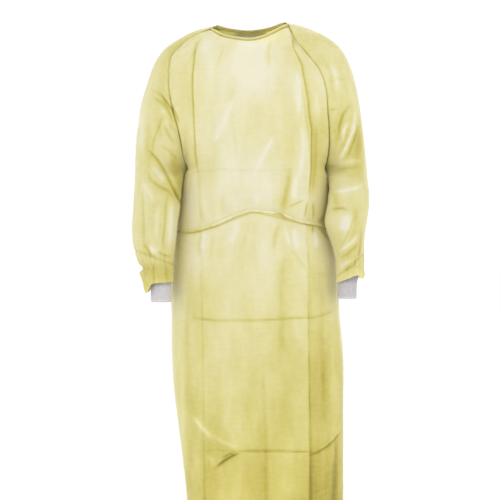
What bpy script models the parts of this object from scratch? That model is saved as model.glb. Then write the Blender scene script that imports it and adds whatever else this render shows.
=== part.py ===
"""Disposable isolation gown: a shell of thin cloth, with raglan sleeves, knit cuffs, a binding and ties."""

import bpy
import numpy as np

WALL = 0.0012          # cloth wall
SEAM_GAP = 0.0004      # clear gap between two sewn pieces
LAP_LIFT = 0.0019      # how far the upper back panel stands off the lower one
HEM_Z = -1.220         # hem below the shoulders
BIND_H = 0.0075        # height of the neck binding
TIE_H = 0.0080         # height of the waist tie
TIE_LIFT = 0.0005      # clear gap under the waist tie
END_W = 0.0080         # width of the tie ends
KNOT_W = 0.0150        # height of a knot
KNOT_T = 0.0050        # thickness of a knot
CUFF_WALL = 0.0020     # knit cuff, two layers
CUFF_RIB = 0.0006      # height of its ribs
CUFF_RIBS = 28         # ribs round a cuff
PLEATS = 14            # gathers where a sleeve meets its cuff
AROUND = 2 * PLEATS    # columns round a sleeve
PANEL_COLS = 20        # columns across the front, and across the back
UNDER_END = 14         # last back column of the panel underneath
OVER_START = 6         # first back column of the panel on top
RAGLAN_ROWS = 10       # rows between underarm and neck

# Raglan seams from the underarm to the neck, front and back, for the wearer's right (-X) and left (+X).
SEAM_COLS = ("x", "y", "z")
SEAM_FRONT_RIGHT = [
    (-0.1500, 0.000, -0.3480),
    (-0.1545, -0.027, -0.3340),
    (-0.1610, -0.056, -0.2985),
    (-0.1670, -0.072, -0.2690),
    (-0.1740, -0.081, -0.2390),
    (-0.1808, -0.086, -0.2160),
    (-0.1877, -0.088, -0.1810),
    (-0.1910, -0.086, -0.1500),
    (-0.1895, -0.078, -0.1093),
    (-0.1840, -0.069, -0.0847),
    (-0.1656, -0.058, -0.0605),
    (-0.1424, -0.046, -0.0400),
    (-0.1167, -0.033, -0.0240),
    (-0.0955, -0.020, -0.0158),
]
SEAM_FRONT_LEFT = [
    (0.1800, 0.000, -0.3460),
    (0.1835, -0.028, -0.3330),
    (0.1875, -0.058, -0.2950),
    (0.1860, -0.078, -0.2500),
    (0.1830, -0.088, -0.2150),
    (0.1805, -0.092, -0.1883),
    (0.1770, -0.091, -0.1530),
    (0.1636, -0.084, -0.1194),
    (0.1425, -0.075, -0.0901),
    (0.1229, -0.062, -0.0640),
    (0.1068, -0.047, -0.0410),
    (0.0985, -0.034, -0.0230),
    (0.0925, -0.020, -0.0085),
]
SEAM_BACK_RIGHT = [
    (-0.1500, 0.000, -0.3480),
    (-0.1560, 0.030, -0.3330),
    (-0.1650, 0.062, -0.2950),
    (-0.1710, 0.084, -0.2400),
    (-0.1700, 0.097, -0.1800),
    (-0.1580, 0.100, -0.1200),
    (-0.1350, 0.092, -0.0650),
    (-0.1080, 0.076, -0.0220),
    (-0.0860, 0.058, 0.0000),
]
SEAM_BACK_LEFT = [
    (0.1800, 0.000, -0.3460),
    (0.1840, 0.030, -0.3310),
    (0.1870, 0.062, -0.2950),
    (0.1850, 0.084, -0.2400),
    (0.1780, 0.097, -0.1800),
    (0.1620, 0.100, -0.1200),
    (0.1360, 0.092, -0.0650),
    (0.1080, 0.076, -0.0200),
    (0.0850, 0.058, 0.0060),
]

# Neckline, wearer's right to left, where the panels end under the binding.
NECK_FRONT = [
    (-0.0955, -0.020, -0.0158),
    (-0.0806, -0.047, -0.0281),
    (-0.0661, -0.064, -0.0373),
    (-0.0282, -0.083, -0.0472),
    (0.0000, -0.087, -0.0500),
    (0.0282, -0.084, -0.0443),
    (0.0518, -0.075, -0.0332),
    (0.0757, -0.053, -0.0185),
    (0.0925, -0.020, -0.0085),
]
NECK_BACK = [
    (-0.0860, 0.058, 0.0000),
    (-0.0600, 0.073, -0.0060),
    (-0.0300, 0.081, -0.0105),
    (0.0000, 0.084, -0.0120),
    (0.0300, 0.081, -0.0090),
    (0.0600, 0.073, -0.0025),
    (0.0850, 0.058, 0.0060),
]

# Body sections under the arms: height, half section on each side, side seam and depths, roundness.
BODY_COLS = ("z", "x_right", "x_left", "y_side", "y_front", "y_back", "n")
BODY = [
    (-0.346, -0.1555, 0.1845, 0.000, -0.1320, 0.1160, 2.30),
    (-0.375, -0.1600, 0.1880, 0.006, -0.1310, 0.1150, 2.20),
    (-0.405, -0.1665, 0.1915, 0.014, -0.1295, 0.1120, 2.15),
    (-0.450, -0.1740, 0.1895, 0.022, -0.1265, 0.1100, 2.15),
    (-0.490, -0.1785, 0.1860, 0.022, -0.1235, 0.1080, 2.15),
    (-0.530, -0.1845, 0.2010, 0.022, -0.1280, 0.1130, 2.20),
    (-0.580, -0.1895, 0.2115, 0.020, -0.1340, 0.1220, 2.25),
    (-0.630, -0.1915, 0.2130, 0.014, -0.1370, 0.1300, 2.35),
    (-0.700, -0.1880, 0.2150, 0.010, -0.1390, 0.1330, 2.40),
    (-0.790, -0.1870, 0.2235, 0.006, -0.1390, 0.1340, 2.45),
    (-0.900, -0.1800, 0.2240, 0.006, -0.1370, 0.1340, 2.50),
    (-1.000, -0.1660, 0.2240, 0.006, -0.1350, 0.1350, 2.50),
    (-1.110, -0.1530, 0.2240, 0.006, -0.1330, 0.1360, 2.50),
    (-1.220, -0.1460, 0.2240, 0.006, -0.1320, 0.1370, 2.50),
]

# Front depth at the middle and roundness of the rows between underarm (0) and neckline (1).
YOKE_COLS = ("t", "y_front", "y_back", "k", "n")
YOKE = [
    (0.00, -0.1320, 0.1160, 1.000, 2.30),
    (0.10, -0.1330, 0.1180, 0.930, 2.25),
    (0.25, -0.1335, 0.1210, 0.800, 2.20),
    (0.45, -0.1310, 0.1240, 0.620, 2.10),
    (0.65, -0.1230, 0.1210, 0.500, 2.05),
    (0.85, -0.1060, 0.1060, 0.500, 2.00),
    (1.00, -0.0870, 0.0840, 0.800, 2.00),
]

# Heights of the rows under the arms at the side seams; the waist tie lies between two of them.
SIDE_Z = [-0.365, -0.388, -0.415, -0.445, -0.472]
TIE_Z = -0.492
SKIRT_Z = [-0.530, -0.575, -0.630, -0.690, -0.755, -0.820, -0.890, -0.960, -1.030, -1.100, -1.165]

# Upper edge of the tie across the front.
TIE_ROUTE_COLS = ("x", "z")
TIE_ROUTE = [
    (-0.1730, -0.4950),
    (-0.1360, -0.4938),
    (-0.1050, -0.4870),
    (-0.0816, -0.4801),
    (-0.0512, -0.4662),
    (-0.0233, -0.4546),
    (0.0000, -0.4480),
    (0.0186, -0.4477),
    (0.0419, -0.4520),
    (0.0652, -0.4546),
    (0.0932, -0.4638),
    (0.1167, -0.4719),
    (0.1406, -0.4751),
    (0.1603, -0.4783),
    (0.1755, -0.4812),
]

# Large folds of the front and the back: top and bottom ends, how far they stand out and their half width.
FOLD_COLS = ("x_top", "z_top", "x_bottom", "z_bottom", "lift", "half")
FRONT_FOLDS = [
    (-0.125, -0.070, -0.128, -0.330, 0.0030, 0.022),
    (0.098, -0.060, 0.146, -0.330, 0.0040, 0.020),
    (0.138, -0.520, 0.142, -1.225, 0.0060, 0.020),
    (0.108, -0.560, 0.104, -1.225, -0.0035, 0.018),
    (-0.105, -0.520, -0.118, -1.225, 0.0040, 0.024),
    (-0.060, -0.600, -0.075, -1.225, -0.0030, 0.022),
    (0.020, -0.800, 0.046, -1.225, -0.0045, 0.030),
    (-0.010, -0.850, 0.000, -1.225, 0.0035, 0.026),
    (0.185, -0.560, 0.195, -1.225, -0.0050, 0.016),
    (-0.160, -0.640, -0.150, -1.225, -0.0040, 0.016),
]
BACK_FOLDS = [
    (-0.120, -0.520, -0.130, -1.225, 0.0070, 0.026),
    (-0.070, -0.540, -0.080, -1.225, -0.0050, 0.022),
    (0.130, -0.520, 0.150, -1.225, 0.0070, 0.028),
    (0.080, -0.560, 0.085, -1.225, -0.0050, 0.022),
    (0.010, -0.620, 0.000, -1.225, 0.0060, 0.030),
    (-0.110, -0.100, -0.120, -0.440, 0.0035, 0.024),
    (0.120, -0.110, 0.125, -0.440, 0.0035, 0.024),
]

# Sleeve above the underarm: crest line and the direction in which the cloth leaves each seam.
CREST_COLS = ("t", "x", "y", "z", "fx", "fy", "fz", "front", "bx", "by", "bz", "back", "crest_f", "crest_b")
CREST_RIGHT = [
    (1.00, -0.0915, 0.018, -0.0050, 0.0, -0.9, 0.35, 0.010, 0.0, 0.9, 0.30, 0.010, 0.010, 0.010),
    (0.90, -0.1280, 0.018, -0.0150, 0.0, 0.7, 0.70, 0.014, -0.1, -0.4, 0.90, 0.018, 0.020, 0.020),
    (0.80, -0.1600, 0.018, -0.0300, -0.2, 0.7, 0.70, 0.018, -0.3, -0.2, 0.90, 0.024, 0.026, 0.026),
    (0.70, -0.2000, 0.016, -0.0560, -0.5, 0.6, 0.60, 0.022, -0.7, 0.0, 0.70, 0.030, 0.032, 0.034),
    (0.60, -0.2240, 0.012, -0.0860, -0.8, 0.4, 0.40, 0.026, -0.9, 0.1, 0.40, 0.038, 0.036, 0.042),
    (0.44, -0.2470, 0.008, -0.1450, -1.0, -0.1, 0.00, 0.032, -1.0, 0.1, 0.10, 0.046, 0.044, 0.050),
    (0.30, -0.2620, 0.005, -0.2000, -0.9, -0.4, 0.00, 0.044, -0.9, 0.4, 0.00, 0.052, 0.052, 0.058),
    (0.17, -0.2700, 0.000, -0.2600, -0.7, -0.7, 0.00, 0.066, -0.7, 0.7, 0.00, 0.070, 0.070, 0.072),
    (0.08, -0.2735, -0.003, -0.3050, -0.5, -0.87, 0.00, 0.088, -0.5, 0.87, 0.00, 0.090, 0.090, 0.090),
    (0.00, -0.2740, -0.005, -0.3500, -0.45, -0.89, -0.1, 0.106, -0.45, 0.89, -0.1, 0.106, 0.106, 0.106),
]
CREST_LEFT = [
    (1.00, 0.0900, 0.018, 0.0040, 0.0, -0.9, 0.35, 0.010, 0.0, 0.9, 0.30, 0.010, 0.010, 0.010),
    (0.88, 0.1280, 0.012, -0.0060, 0.2, 0.5, 0.80, 0.020, 0.2, -0.3, 0.90, 0.022, 0.024, 0.022),
    (0.76, 0.1650, 0.010, -0.0220, 0.5, 0.2, 0.80, 0.030, 0.5, -0.1, 0.80, 0.030, 0.034, 0.030),
    (0.66, 0.2030, 0.008, -0.0440, 0.7, 0.1, 0.65, 0.036, 0.8, 0.0, 0.55, 0.036, 0.042, 0.038),
    (0.56, 0.2290, 0.008, -0.0770, 0.9, 0.0, 0.40, 0.038, 0.95, 0.1, 0.30, 0.042, 0.046, 0.044),
    (0.44, 0.2480, 0.006, -0.1280, 1.0, -0.1, 0.10, 0.038, 1.0, 0.1, 0.10, 0.046, 0.048, 0.050),
    (0.30, 0.2610, 0.004, -0.1900, 0.9, -0.4, 0.00, 0.044, 0.9, 0.4, 0.00, 0.052, 0.052, 0.058),
    (0.17, 0.2700, 0.000, -0.2550, 0.7, -0.7, 0.00, 0.060, 0.7, 0.7, 0.00, 0.066, 0.066, 0.068),
    (0.08, 0.2745, -0.003, -0.3030, 0.5, -0.87, 0.00, 0.078, 0.5, 0.87, 0.00, 0.080, 0.080, 0.080),
    (0.00, 0.2780, -0.005, -0.3480, 0.45, -0.89, -0.1, 0.094, 0.45, 0.89, -0.1, 0.094, 0.094, 0.094),
]

# Sleeve rings under the underarm: inner and outer edge, depth of each, half depth, pleat depth.
RING_COLS = ("z_in", "z_out", "x_in", "x_out", "y_in", "y_out", "half_y", "pleat")
RINGS_RIGHT = [
    (-0.3680, -0.3800, -0.1592, -0.2750, -0.016, -0.011, 0.0780, 0.0),
    (-0.3980, -0.4150, -0.1625, -0.2765, -0.041, -0.024, 0.0760, 0.0),
    (-0.4370, -0.4550, -0.1650, -0.2780, -0.056, -0.040, 0.0710, 0.0),
    (-0.4790, -0.4950, -0.1715, -0.2788, -0.062, -0.055, 0.0650, 0.0),
    (-0.5180, -0.5300, -0.1752, -0.2743, -0.067, -0.065, 0.0570, 0.0006),
    (-0.5500, -0.5560, -0.1800, -0.2664, -0.071, -0.071, 0.0465, 0.0012),
    (-0.5720, -0.5740, -0.1820, -0.2585, -0.074, -0.074, 0.0385, 0.002),
    (-0.5850, -0.5860, -0.1822, -0.2485, -0.076, -0.076, 0.0325, 0.0022),
    (-0.5960, -0.6000, -0.1822, -0.2567, -0.077, -0.077, 0.0355, 0.0022),
    (-0.6140, -0.6300, -0.1825, -0.2440, -0.079, -0.079, 0.0370, 0.0026),
]
RINGS_LEFT = [
    (-0.3680, -0.3780, 0.1878, 0.2805, -0.016, -0.011, 0.0730, 0.0),
    (-0.3980, -0.4100, 0.1880, 0.2830, -0.041, -0.024, 0.0710, 0.0),
    (-0.4370, -0.4500, 0.1832, 0.2800, -0.056, -0.040, 0.0680, 0.0),
    (-0.4790, -0.4900, 0.1772, 0.2729, -0.062, -0.055, 0.0630, 0.0),
    (-0.5180, -0.5280, 0.1910, 0.2673, -0.067, -0.065, 0.0550, 0.0006),
    (-0.5500, -0.5520, 0.2005, 0.2664, -0.071, -0.071, 0.0450, 0.0012),
    (-0.5700, -0.5700, 0.2040, 0.2650, -0.074, -0.074, 0.0370, 0.002),
    (-0.5830, -0.5820, 0.2048, 0.2641, -0.076, -0.076, 0.0310, 0.0022),
    (-0.5940, -0.5920, 0.2045, 0.2646, -0.077, -0.077, 0.0335, 0.0022),
    (-0.6120, -0.6040, 0.2040, 0.2646, -0.079, -0.079, 0.0350, 0.0026),
]

# Knit cuffs: ring height, middle and half sizes of the outer face; the top ring is sewn into the sleeve.
CUFF_COLS = ("z", "x", "half_x", "y", "half_y")
CUFF_RIGHT = [
    (-0.5855, -0.21535, 0.03315, -0.076, 0.0325),
    (-0.6020, -0.21250, 0.02650, -0.079, 0.0290),
    (-0.6200, -0.20950, 0.02370, -0.082, 0.0265),
    (-0.6640, -0.20800, 0.02370, -0.087, 0.0265),
]
CUFF_LEFT = [
    (-0.5825, 0.23445, 0.02965, -0.076, 0.0310),
    (-0.6000, 0.23200, 0.02450, -0.079, 0.0280),
    (-0.6180, 0.22900, 0.02220, -0.082, 0.0260),
    (-0.6560, 0.22700, 0.02220, -0.087, 0.0260),
]

# Hanging ends of the ties: rows and columns of the back they run through, from the knot down.
WAIST_ENDS = (
    ("right", ((11.0, 9.95), (10.0, 9.75), (9.0, 9.62), (8.0, 9.58), (7.4, 9.60))),
    ("left", ((11.0, 10.45), (10.0, 10.62), (9.0, 10.72), (8.3, 10.74))),
)
NECK_ENDS = (
    ("right", ((28.50, 9.10), (28.0, 9.12), (27.0, 9.14), (26.0, 9.14), (25.3, 9.15))),
    ("left", ((28.50, 10.15), (28.0, 10.15), (27.0, 10.10), (26.0, 10.08))),
)

YELLOW = (0.80, 0.74, 0.42, 1.0)
KNIT = (0.62, 0.58, 0.59, 1.0)


def smooth_steps(values, at, where):
    """Cubic through the given rows, without overshoot at uneven steps."""
    values, at = np.asarray(values, float), np.asarray(at, float)
    if at[0] > at[-1]:
        values, at = values[::-1], at[::-1]
    steps = np.diff(at)
    slopes = np.diff(values, axis=0) / steps[:, None]
    tangent = np.zeros_like(values)
    tangent[1:-1] = (slopes[:-1] * steps[1:, None] + slopes[1:] * steps[:-1, None]) / (
        steps[:-1] + steps[1:]
    )[:, None]
    tangent[0], tangent[-1] = slopes[0], slopes[-1]
    where = np.clip(np.atleast_1d(where), at[0], at[-1])
    i = np.clip(np.searchsorted(at, where) - 1, 0, len(steps) - 1)
    h = steps[i]
    s = (where - at[i]) / h
    return (
        (2 * s**3 - 3 * s**2 + 1)[:, None] * values[i]
        + (s**3 - 2 * s**2 + s)[:, None] * h[:, None] * tangent[i]
        + (3 * s**2 - 2 * s**3)[:, None] * values[i + 1]
        + (s**3 - s**2)[:, None] * h[:, None] * tangent[i + 1]
    )


def along(line, count):
    """Points at equal steps of length along a line of points."""
    line = np.asarray(line, float)
    length = np.concatenate([[0.0], np.cumsum(np.linalg.norm(np.diff(line, axis=0), axis=1))])
    return smooth_steps(line, length / length[-1], np.linspace(0, 1, count + 1))


def column(table, names, name):
    return np.array([row[names.index(name)] for row in table])


def look_up(table, names, key, where, *wanted):
    values = np.stack([column(table, names, name) for name in wanted], axis=1)
    return smooth_steps(values, column(table, names, key), where).T


def unit(vectors):
    return vectors / np.maximum(np.linalg.norm(vectors, axis=-1, keepdims=True), 1e-12)


def half_round(r, k, n):
    """How far a section bulges at r of its half width: 1 in the middle, 0 at the ends."""
    end = (1 - k**n) ** (1 / n)
    return ((1 - np.minimum(k * np.abs(r), 1.0) ** n) ** (1 / n) - end) / (1 - end)


ACROSS = np.sin(np.radians(np.linspace(-90, 90, PANEL_COLS + 1)) * 0.94) / np.sin(np.radians(84.6))


def side_heights():
    return SIDE_Z + [TIE_Z, TIE_Z - TIE_H] + SKIRT_Z + [HEM_Z]


TIE_ROW = len(SIDE_Z)


def fold_lift(points, folds):
    """Sum of the long soft folds at each point, fading at their ends."""
    lift = np.zeros(points.shape[:-1])
    for fold in folds:
        x0, z0, x1, z1, height, half = fold
        t = (points[..., 2] - z0) / (z1 - z0)
        here = np.exp(-(((points[..., 0] - (x0 + (x1 - x0) * t)) / half) ** 2))
        fade = np.clip(t / 0.18, 0, 1) * np.clip((1.12 - t) / 0.12, 0, 1)
        lift += height * here * fade * fade * (3 - 2 * fade)
    return lift


def body_rows(face, folds):
    """Rows of one face of the body from the hem up to the underarm row."""
    rows = []
    for number, z in enumerate(side_heights()):
        section = look_up(BODY, BODY_COLS, "z", z, "x_right", "x_left", "y_side", "y_front", "y_back", "n")
        xr, xl, ys, yf, yb, n = (float(v[0]) for v in section)
        middle = yf if face == "front" else yb
        x = (xr + xl) / 2 + (xl - xr) / 2 * ACROSS
        near = max(0.0, 1 - (BODY[0][0] - z) / 0.030) ** 2
        drawn = np.where(ACROSS < 0, SEAM_FRONT_RIGHT[0][0] - xr, SEAM_FRONT_LEFT[0][0] - xl)
        x += drawn * near * ACROSS**10
        y = ys + (middle - ys) * half_round(ACROSS, 1.0, n)
        row = np.stack([x, y, np.full_like(x, z)], axis=1)
        if face == "front":
            route = look_up(TIE_ROUTE, TIE_ROUTE_COLS, "x", x, "z")[0]
            rise = route - TIE_Z
            if number <= TIE_ROW:
                share = (z + 0.348) / (TIE_Z + 0.348)
            else:
                share = np.clip((z + 0.640) / (TIE_Z - TIE_H + 0.640), 0, 1)
            row[:, 2] += rise * share**1.5 * (1 - np.abs(ACROSS) ** 12)
        rows.append(row)
    rows = np.array(rows[::-1])
    rows[..., 1] += fold_lift(rows, folds) * (-1 if face == "front" else 1) * (1 - np.abs(ACROSS) ** 8)
    return rows


def yoke_rows(face, seam_right, seam_left, neck, folds):
    """Rows of one face from the underarm row up to the neckline, blended between the two seams."""
    right, left = along(seam_right, RAGLAN_ROWS), along(seam_left, RAGLAN_ROWS)
    top = along(neck, PANEL_COLS)
    t = np.linspace(0, 1, RAGLAN_ROWS + 1)[:, None, None]
    u = ((ACROSS + 1) / 2)[None, :, None]
    xr, xl = (float(v[0]) for v in look_up(BODY, BODY_COLS, "z", BODY[0][0], "x_right", "x_left"))
    low = right[0] + (left[0] - right[0]) * u[0]
    drawn_in = np.abs(ACROSS) ** 10
    low[:, 0] = (xr + xl) / 2 + (xl - xr) / 2 * ACROSS
    low[:, 0] += np.where(ACROSS < 0, right[0, 0] - xr, left[0, 0] - xl) * drawn_in
    v = np.linspace(0, 1, PANEL_COLS + 1)[None, :, None]
    blend = u * (1 - t) + v * t
    corners = (1 - t) * ((1 - u) * right[0] + u * left[0]) + t * ((1 - v) * right[-1] + v * left[-1])
    grid = (
        (1 - t) * low[None]
        + t * top[None]
        + (1 - blend) * right[:, None]
        + blend * left[:, None]
        - corners
    )
    steps = np.linspace(0, 1, RAGLAN_ROWS + 1)
    yf, yb, k, n = look_up(YOKE, YOKE_COLS, "t", steps, "y_front", "y_back", "k", "n")
    for j in range(RAGLAN_ROWS + 1):
        ends = grid[j, [0, -1], 0]
        r = (grid[j, :, 0] - ends.mean()) / ((ends[1] - ends[0]) / 2)
        side = right[j, 1] + (left[j, 1] - right[j, 1]) * (r + 1) / 2
        middle = yf[j] if face == "front" else yb[j]
        grid[j, :, 1] = side + (middle - side) * half_round(r, k[j], n[j])
    share = t[..., 0]
    grid[..., 1] = grid[..., 1] * (1 - share**6) + share**6 * top[None, :, 1]
    grid[..., 1] += fold_lift(grid, folds) * (-1 if face == "front" else 1) * (1 - np.abs(ACROSS) ** 8)
    grid[:, 0], grid[:, -1], grid[-1] = right, left, top
    return grid


def curve_between(start, leave, arrive, end, count):
    """Cubic curve with its two handles, at equal steps of its parameter."""
    s = np.linspace(0, 1, count + 1)[:, None]
    return (
        (1 - s) ** 3 * start
        + 3 * (1 - s) ** 2 * s * (start + leave)
        + 3 * (1 - s) * s**2 * (end + arrive)
        + s**3 * end
    )


def sleeve_rows(side, front_seam, back_seam, crest, rings):
    """Rows of a sleeve from its hem up to the underarm and on to the neck; column 0 is the front seam."""
    half = AROUND // 2
    rows = []
    for z_in, z_out, x_in, x_out, y_in, y_out, half_y, pleat in rings[::-1]:
        turn = np.linspace(0, 2 * np.pi, AROUND + 1)
        inward = (1 + np.cos(turn)) / 2
        x_mid, half_x = (x_in + x_out) / 2, abs(x_out - x_in) / 2
        out = np.where(np.arange(AROUND + 1) % 2 == 1, pleat, 0.0) * (1 + 0.6 * (1 - inward))
        row = np.stack(
            [
                x_mid - side * (half_x + out) * np.cos(turn),
                y_in * inward + y_out * (1 - inward) - (half_y + out) * np.sin(turn),
                z_in * inward + z_out * (1 - inward),
            ],
            axis=1,
        )
        rows.append(row)
    names = CREST_COLS
    for t, f, b in zip(np.linspace(0, 1, RAGLAN_ROWS + 1), front_seam, back_seam):
        x, y, z, fx, fy, fz, fl, bx, by, bz, bl, cf, cb = (
            float(v[0]) for v in look_up(crest, names, "t", t, *names[1:])
        )
        top = np.array([x, y, z])
        front = curve_between(
            f, fl * unit(np.array([fx, fy, fz])), np.array([0, -cf, 0]), top, half
        )
        back = curve_between(
            b, bl * unit(np.array([bx, by, bz])), np.array([0, cb, 0]), top, half
        )
        rows.append(np.concatenate([front, back[-2::-1]]))
    return np.array(rows)


def grid_normals(points, closed_rows=0, flip=False):
    """Normals of a grid; rows under closed_rows are closed tubes whose last column is the first."""
    du = np.gradient(points, axis=1)
    dv = np.gradient(points, axis=0)
    if closed_rows:
        wrap = (points[:closed_rows, 1] - points[:closed_rows, -2]) / 2
        du[:closed_rows, 0] = du[:closed_rows, -1] = wrap
    normal = unit(np.cross(du, dv))
    return -normal if flip else normal


def share_normals(*edges):
    """Gives the matching points of several edges one common normal."""
    common = unit(sum(normals[where] for normals, where in edges))
    for normals, where in edges:
        normals[where] = common


def build_solid(
    name,
    points,
    normals,
    wall,
    tube_rows=0,
    pull=(0, 0, 0, 0),
    corner_row=0,
    turned=False,
    colour=YELLOW,
    collection=None,
):
    """A closed wall round a grid of middle points; pull draws left, right, bottom and top edges in."""
    left, right, bottom, top = pull
    if turned:
        points, normals, left, right = points[:, ::-1], normals[:, ::-1], right, left
    mid = points.copy()
    for at, inside, amount in ((0, 1, left), (-1, -2, right)):
        edge, next_to = points[tube_rows:, at], points[tube_rows:, inside]
        if amount and len(edge) > 1:
            into = unit(np.cross(np.gradient(edge, axis=0), normals[tube_rows:, at]))
            into *= np.sign((into * (next_to - edge)).sum(1, keepdims=True))
            if corner_row:
                up, down = (unit(edge[corner_row + k] - edge[corner_row]) for k in (1, -1))
                into[corner_row] = unit(up + down)
            mid[tube_rows:, at] += amount * into
    if 0 < tube_rows < len(points):
        corner = points[tube_rows, 0]
        mid[tube_rows, [0, -1]] = corner + left * unit(points[tube_rows - 1, 0] - corner)
    mid[0] += bottom * unit(points[1] - points[0])
    mid[-1] += top * unit(points[-2] - points[-1])
    rows, cols = mid.shape[:2]
    keys, verts = {}, []

    def vert(j, i, layer):
        if i == cols - 1 and j <= tube_rows - 0 and tube_rows:
            i = 0
        if (j, i, layer) not in keys:
            keys[j, i, layer] = len(verts)
            offset = wall / 2 if layer == 0 else -wall / 2
            verts.append(tuple(mid[j, i] + normals[j, i] * offset))
        return keys[j, i, layer]

    faces = []
    for j in range(rows - 1):
        for i in range(cols - 1):
            for corner in ([(j, i), (j, i + 1), (j + 1, i + 1)], [(j, i), (j + 1, i + 1), (j + 1, i)]):
                faces.append([vert(a, b, 0) for a, b in corner])
                faces.append([vert(a, b, 1) for a, b in corner[::-1]])
    for i in range(cols - 1):
        faces.append([vert(0, i + 1, 0), vert(0, i, 0), vert(0, i, 1), vert(0, i + 1, 1)])
        top_edge = [(rows - 1, i, 0), (rows - 1, i + 1, 0), (rows - 1, i + 1, 1), (rows - 1, i, 1)]
        faces.append([vert(*corner) for corner in top_edge])
    for j in range(tube_rows, rows - 1):
        faces.append([vert(j, 0, 0), vert(j + 1, 0, 0), vert(j + 1, 0, 1), vert(j, 0, 1)])
        faces.append(
            [vert(j + 1, cols - 1, 0), vert(j, cols - 1, 0), vert(j, cols - 1, 1), vert(j + 1, cols - 1, 1)]
        )
    mesh = bpy.data.meshes.new(name)
    mesh.from_pydata(verts, [], faces)
    mesh.update()
    part = bpy.data.objects.new(name, mesh)
    material = bpy.data.materials.new(name)
    material.use_nodes = True
    shader = material.node_tree.nodes["Principled BSDF"]
    shader.inputs["Base Color"].default_value = colour
    shader.inputs["Roughness"].default_value = 0.75
    mesh.materials.append(material)
    collection.objects.link(part)
    return part


def ribbon(name, middle, normals, widths, walls, collection):
    """A flat tape along a line of points, with its own width and thickness at each."""
    middle, normals = np.asarray(middle, float), unit(np.asarray(normals, float))
    tangent = unit(np.gradient(middle, axis=0))
    across = unit(np.cross(normals, tangent))
    half = across * np.asarray(widths)[:, None] / 2
    grid = np.stack([middle - half, middle + half], axis=1)
    verts, faces = [], []
    for j in range(len(middle)):
        for i, layer in ((0, 0.5), (1, 0.5), (1, -0.5), (0, -0.5)):
            verts.append(tuple(grid[j, i] + normals[j] * walls[j] * layer))
    for j in range(len(middle) - 1):
        for i in range(4):
            a, b = 4 * j + i, 4 * j + (i + 1) % 4
            faces.append([b, a, a + 4, b + 4])
    faces.append([0, 1, 2, 3])
    last = 4 * (len(middle) - 1)
    faces.append([last + 3, last + 2, last + 1, last])
    mesh = bpy.data.meshes.new(name)
    mesh.from_pydata(verts, [], faces)
    mesh.update()
    part = bpy.data.objects.new(name, mesh)
    material = bpy.data.materials.new(name)
    material.use_nodes = True
    material.node_tree.nodes["Principled BSDF"].inputs["Base Color"].default_value = YELLOW
    mesh.materials.append(material)
    collection.objects.link(part)
    return part


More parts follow.
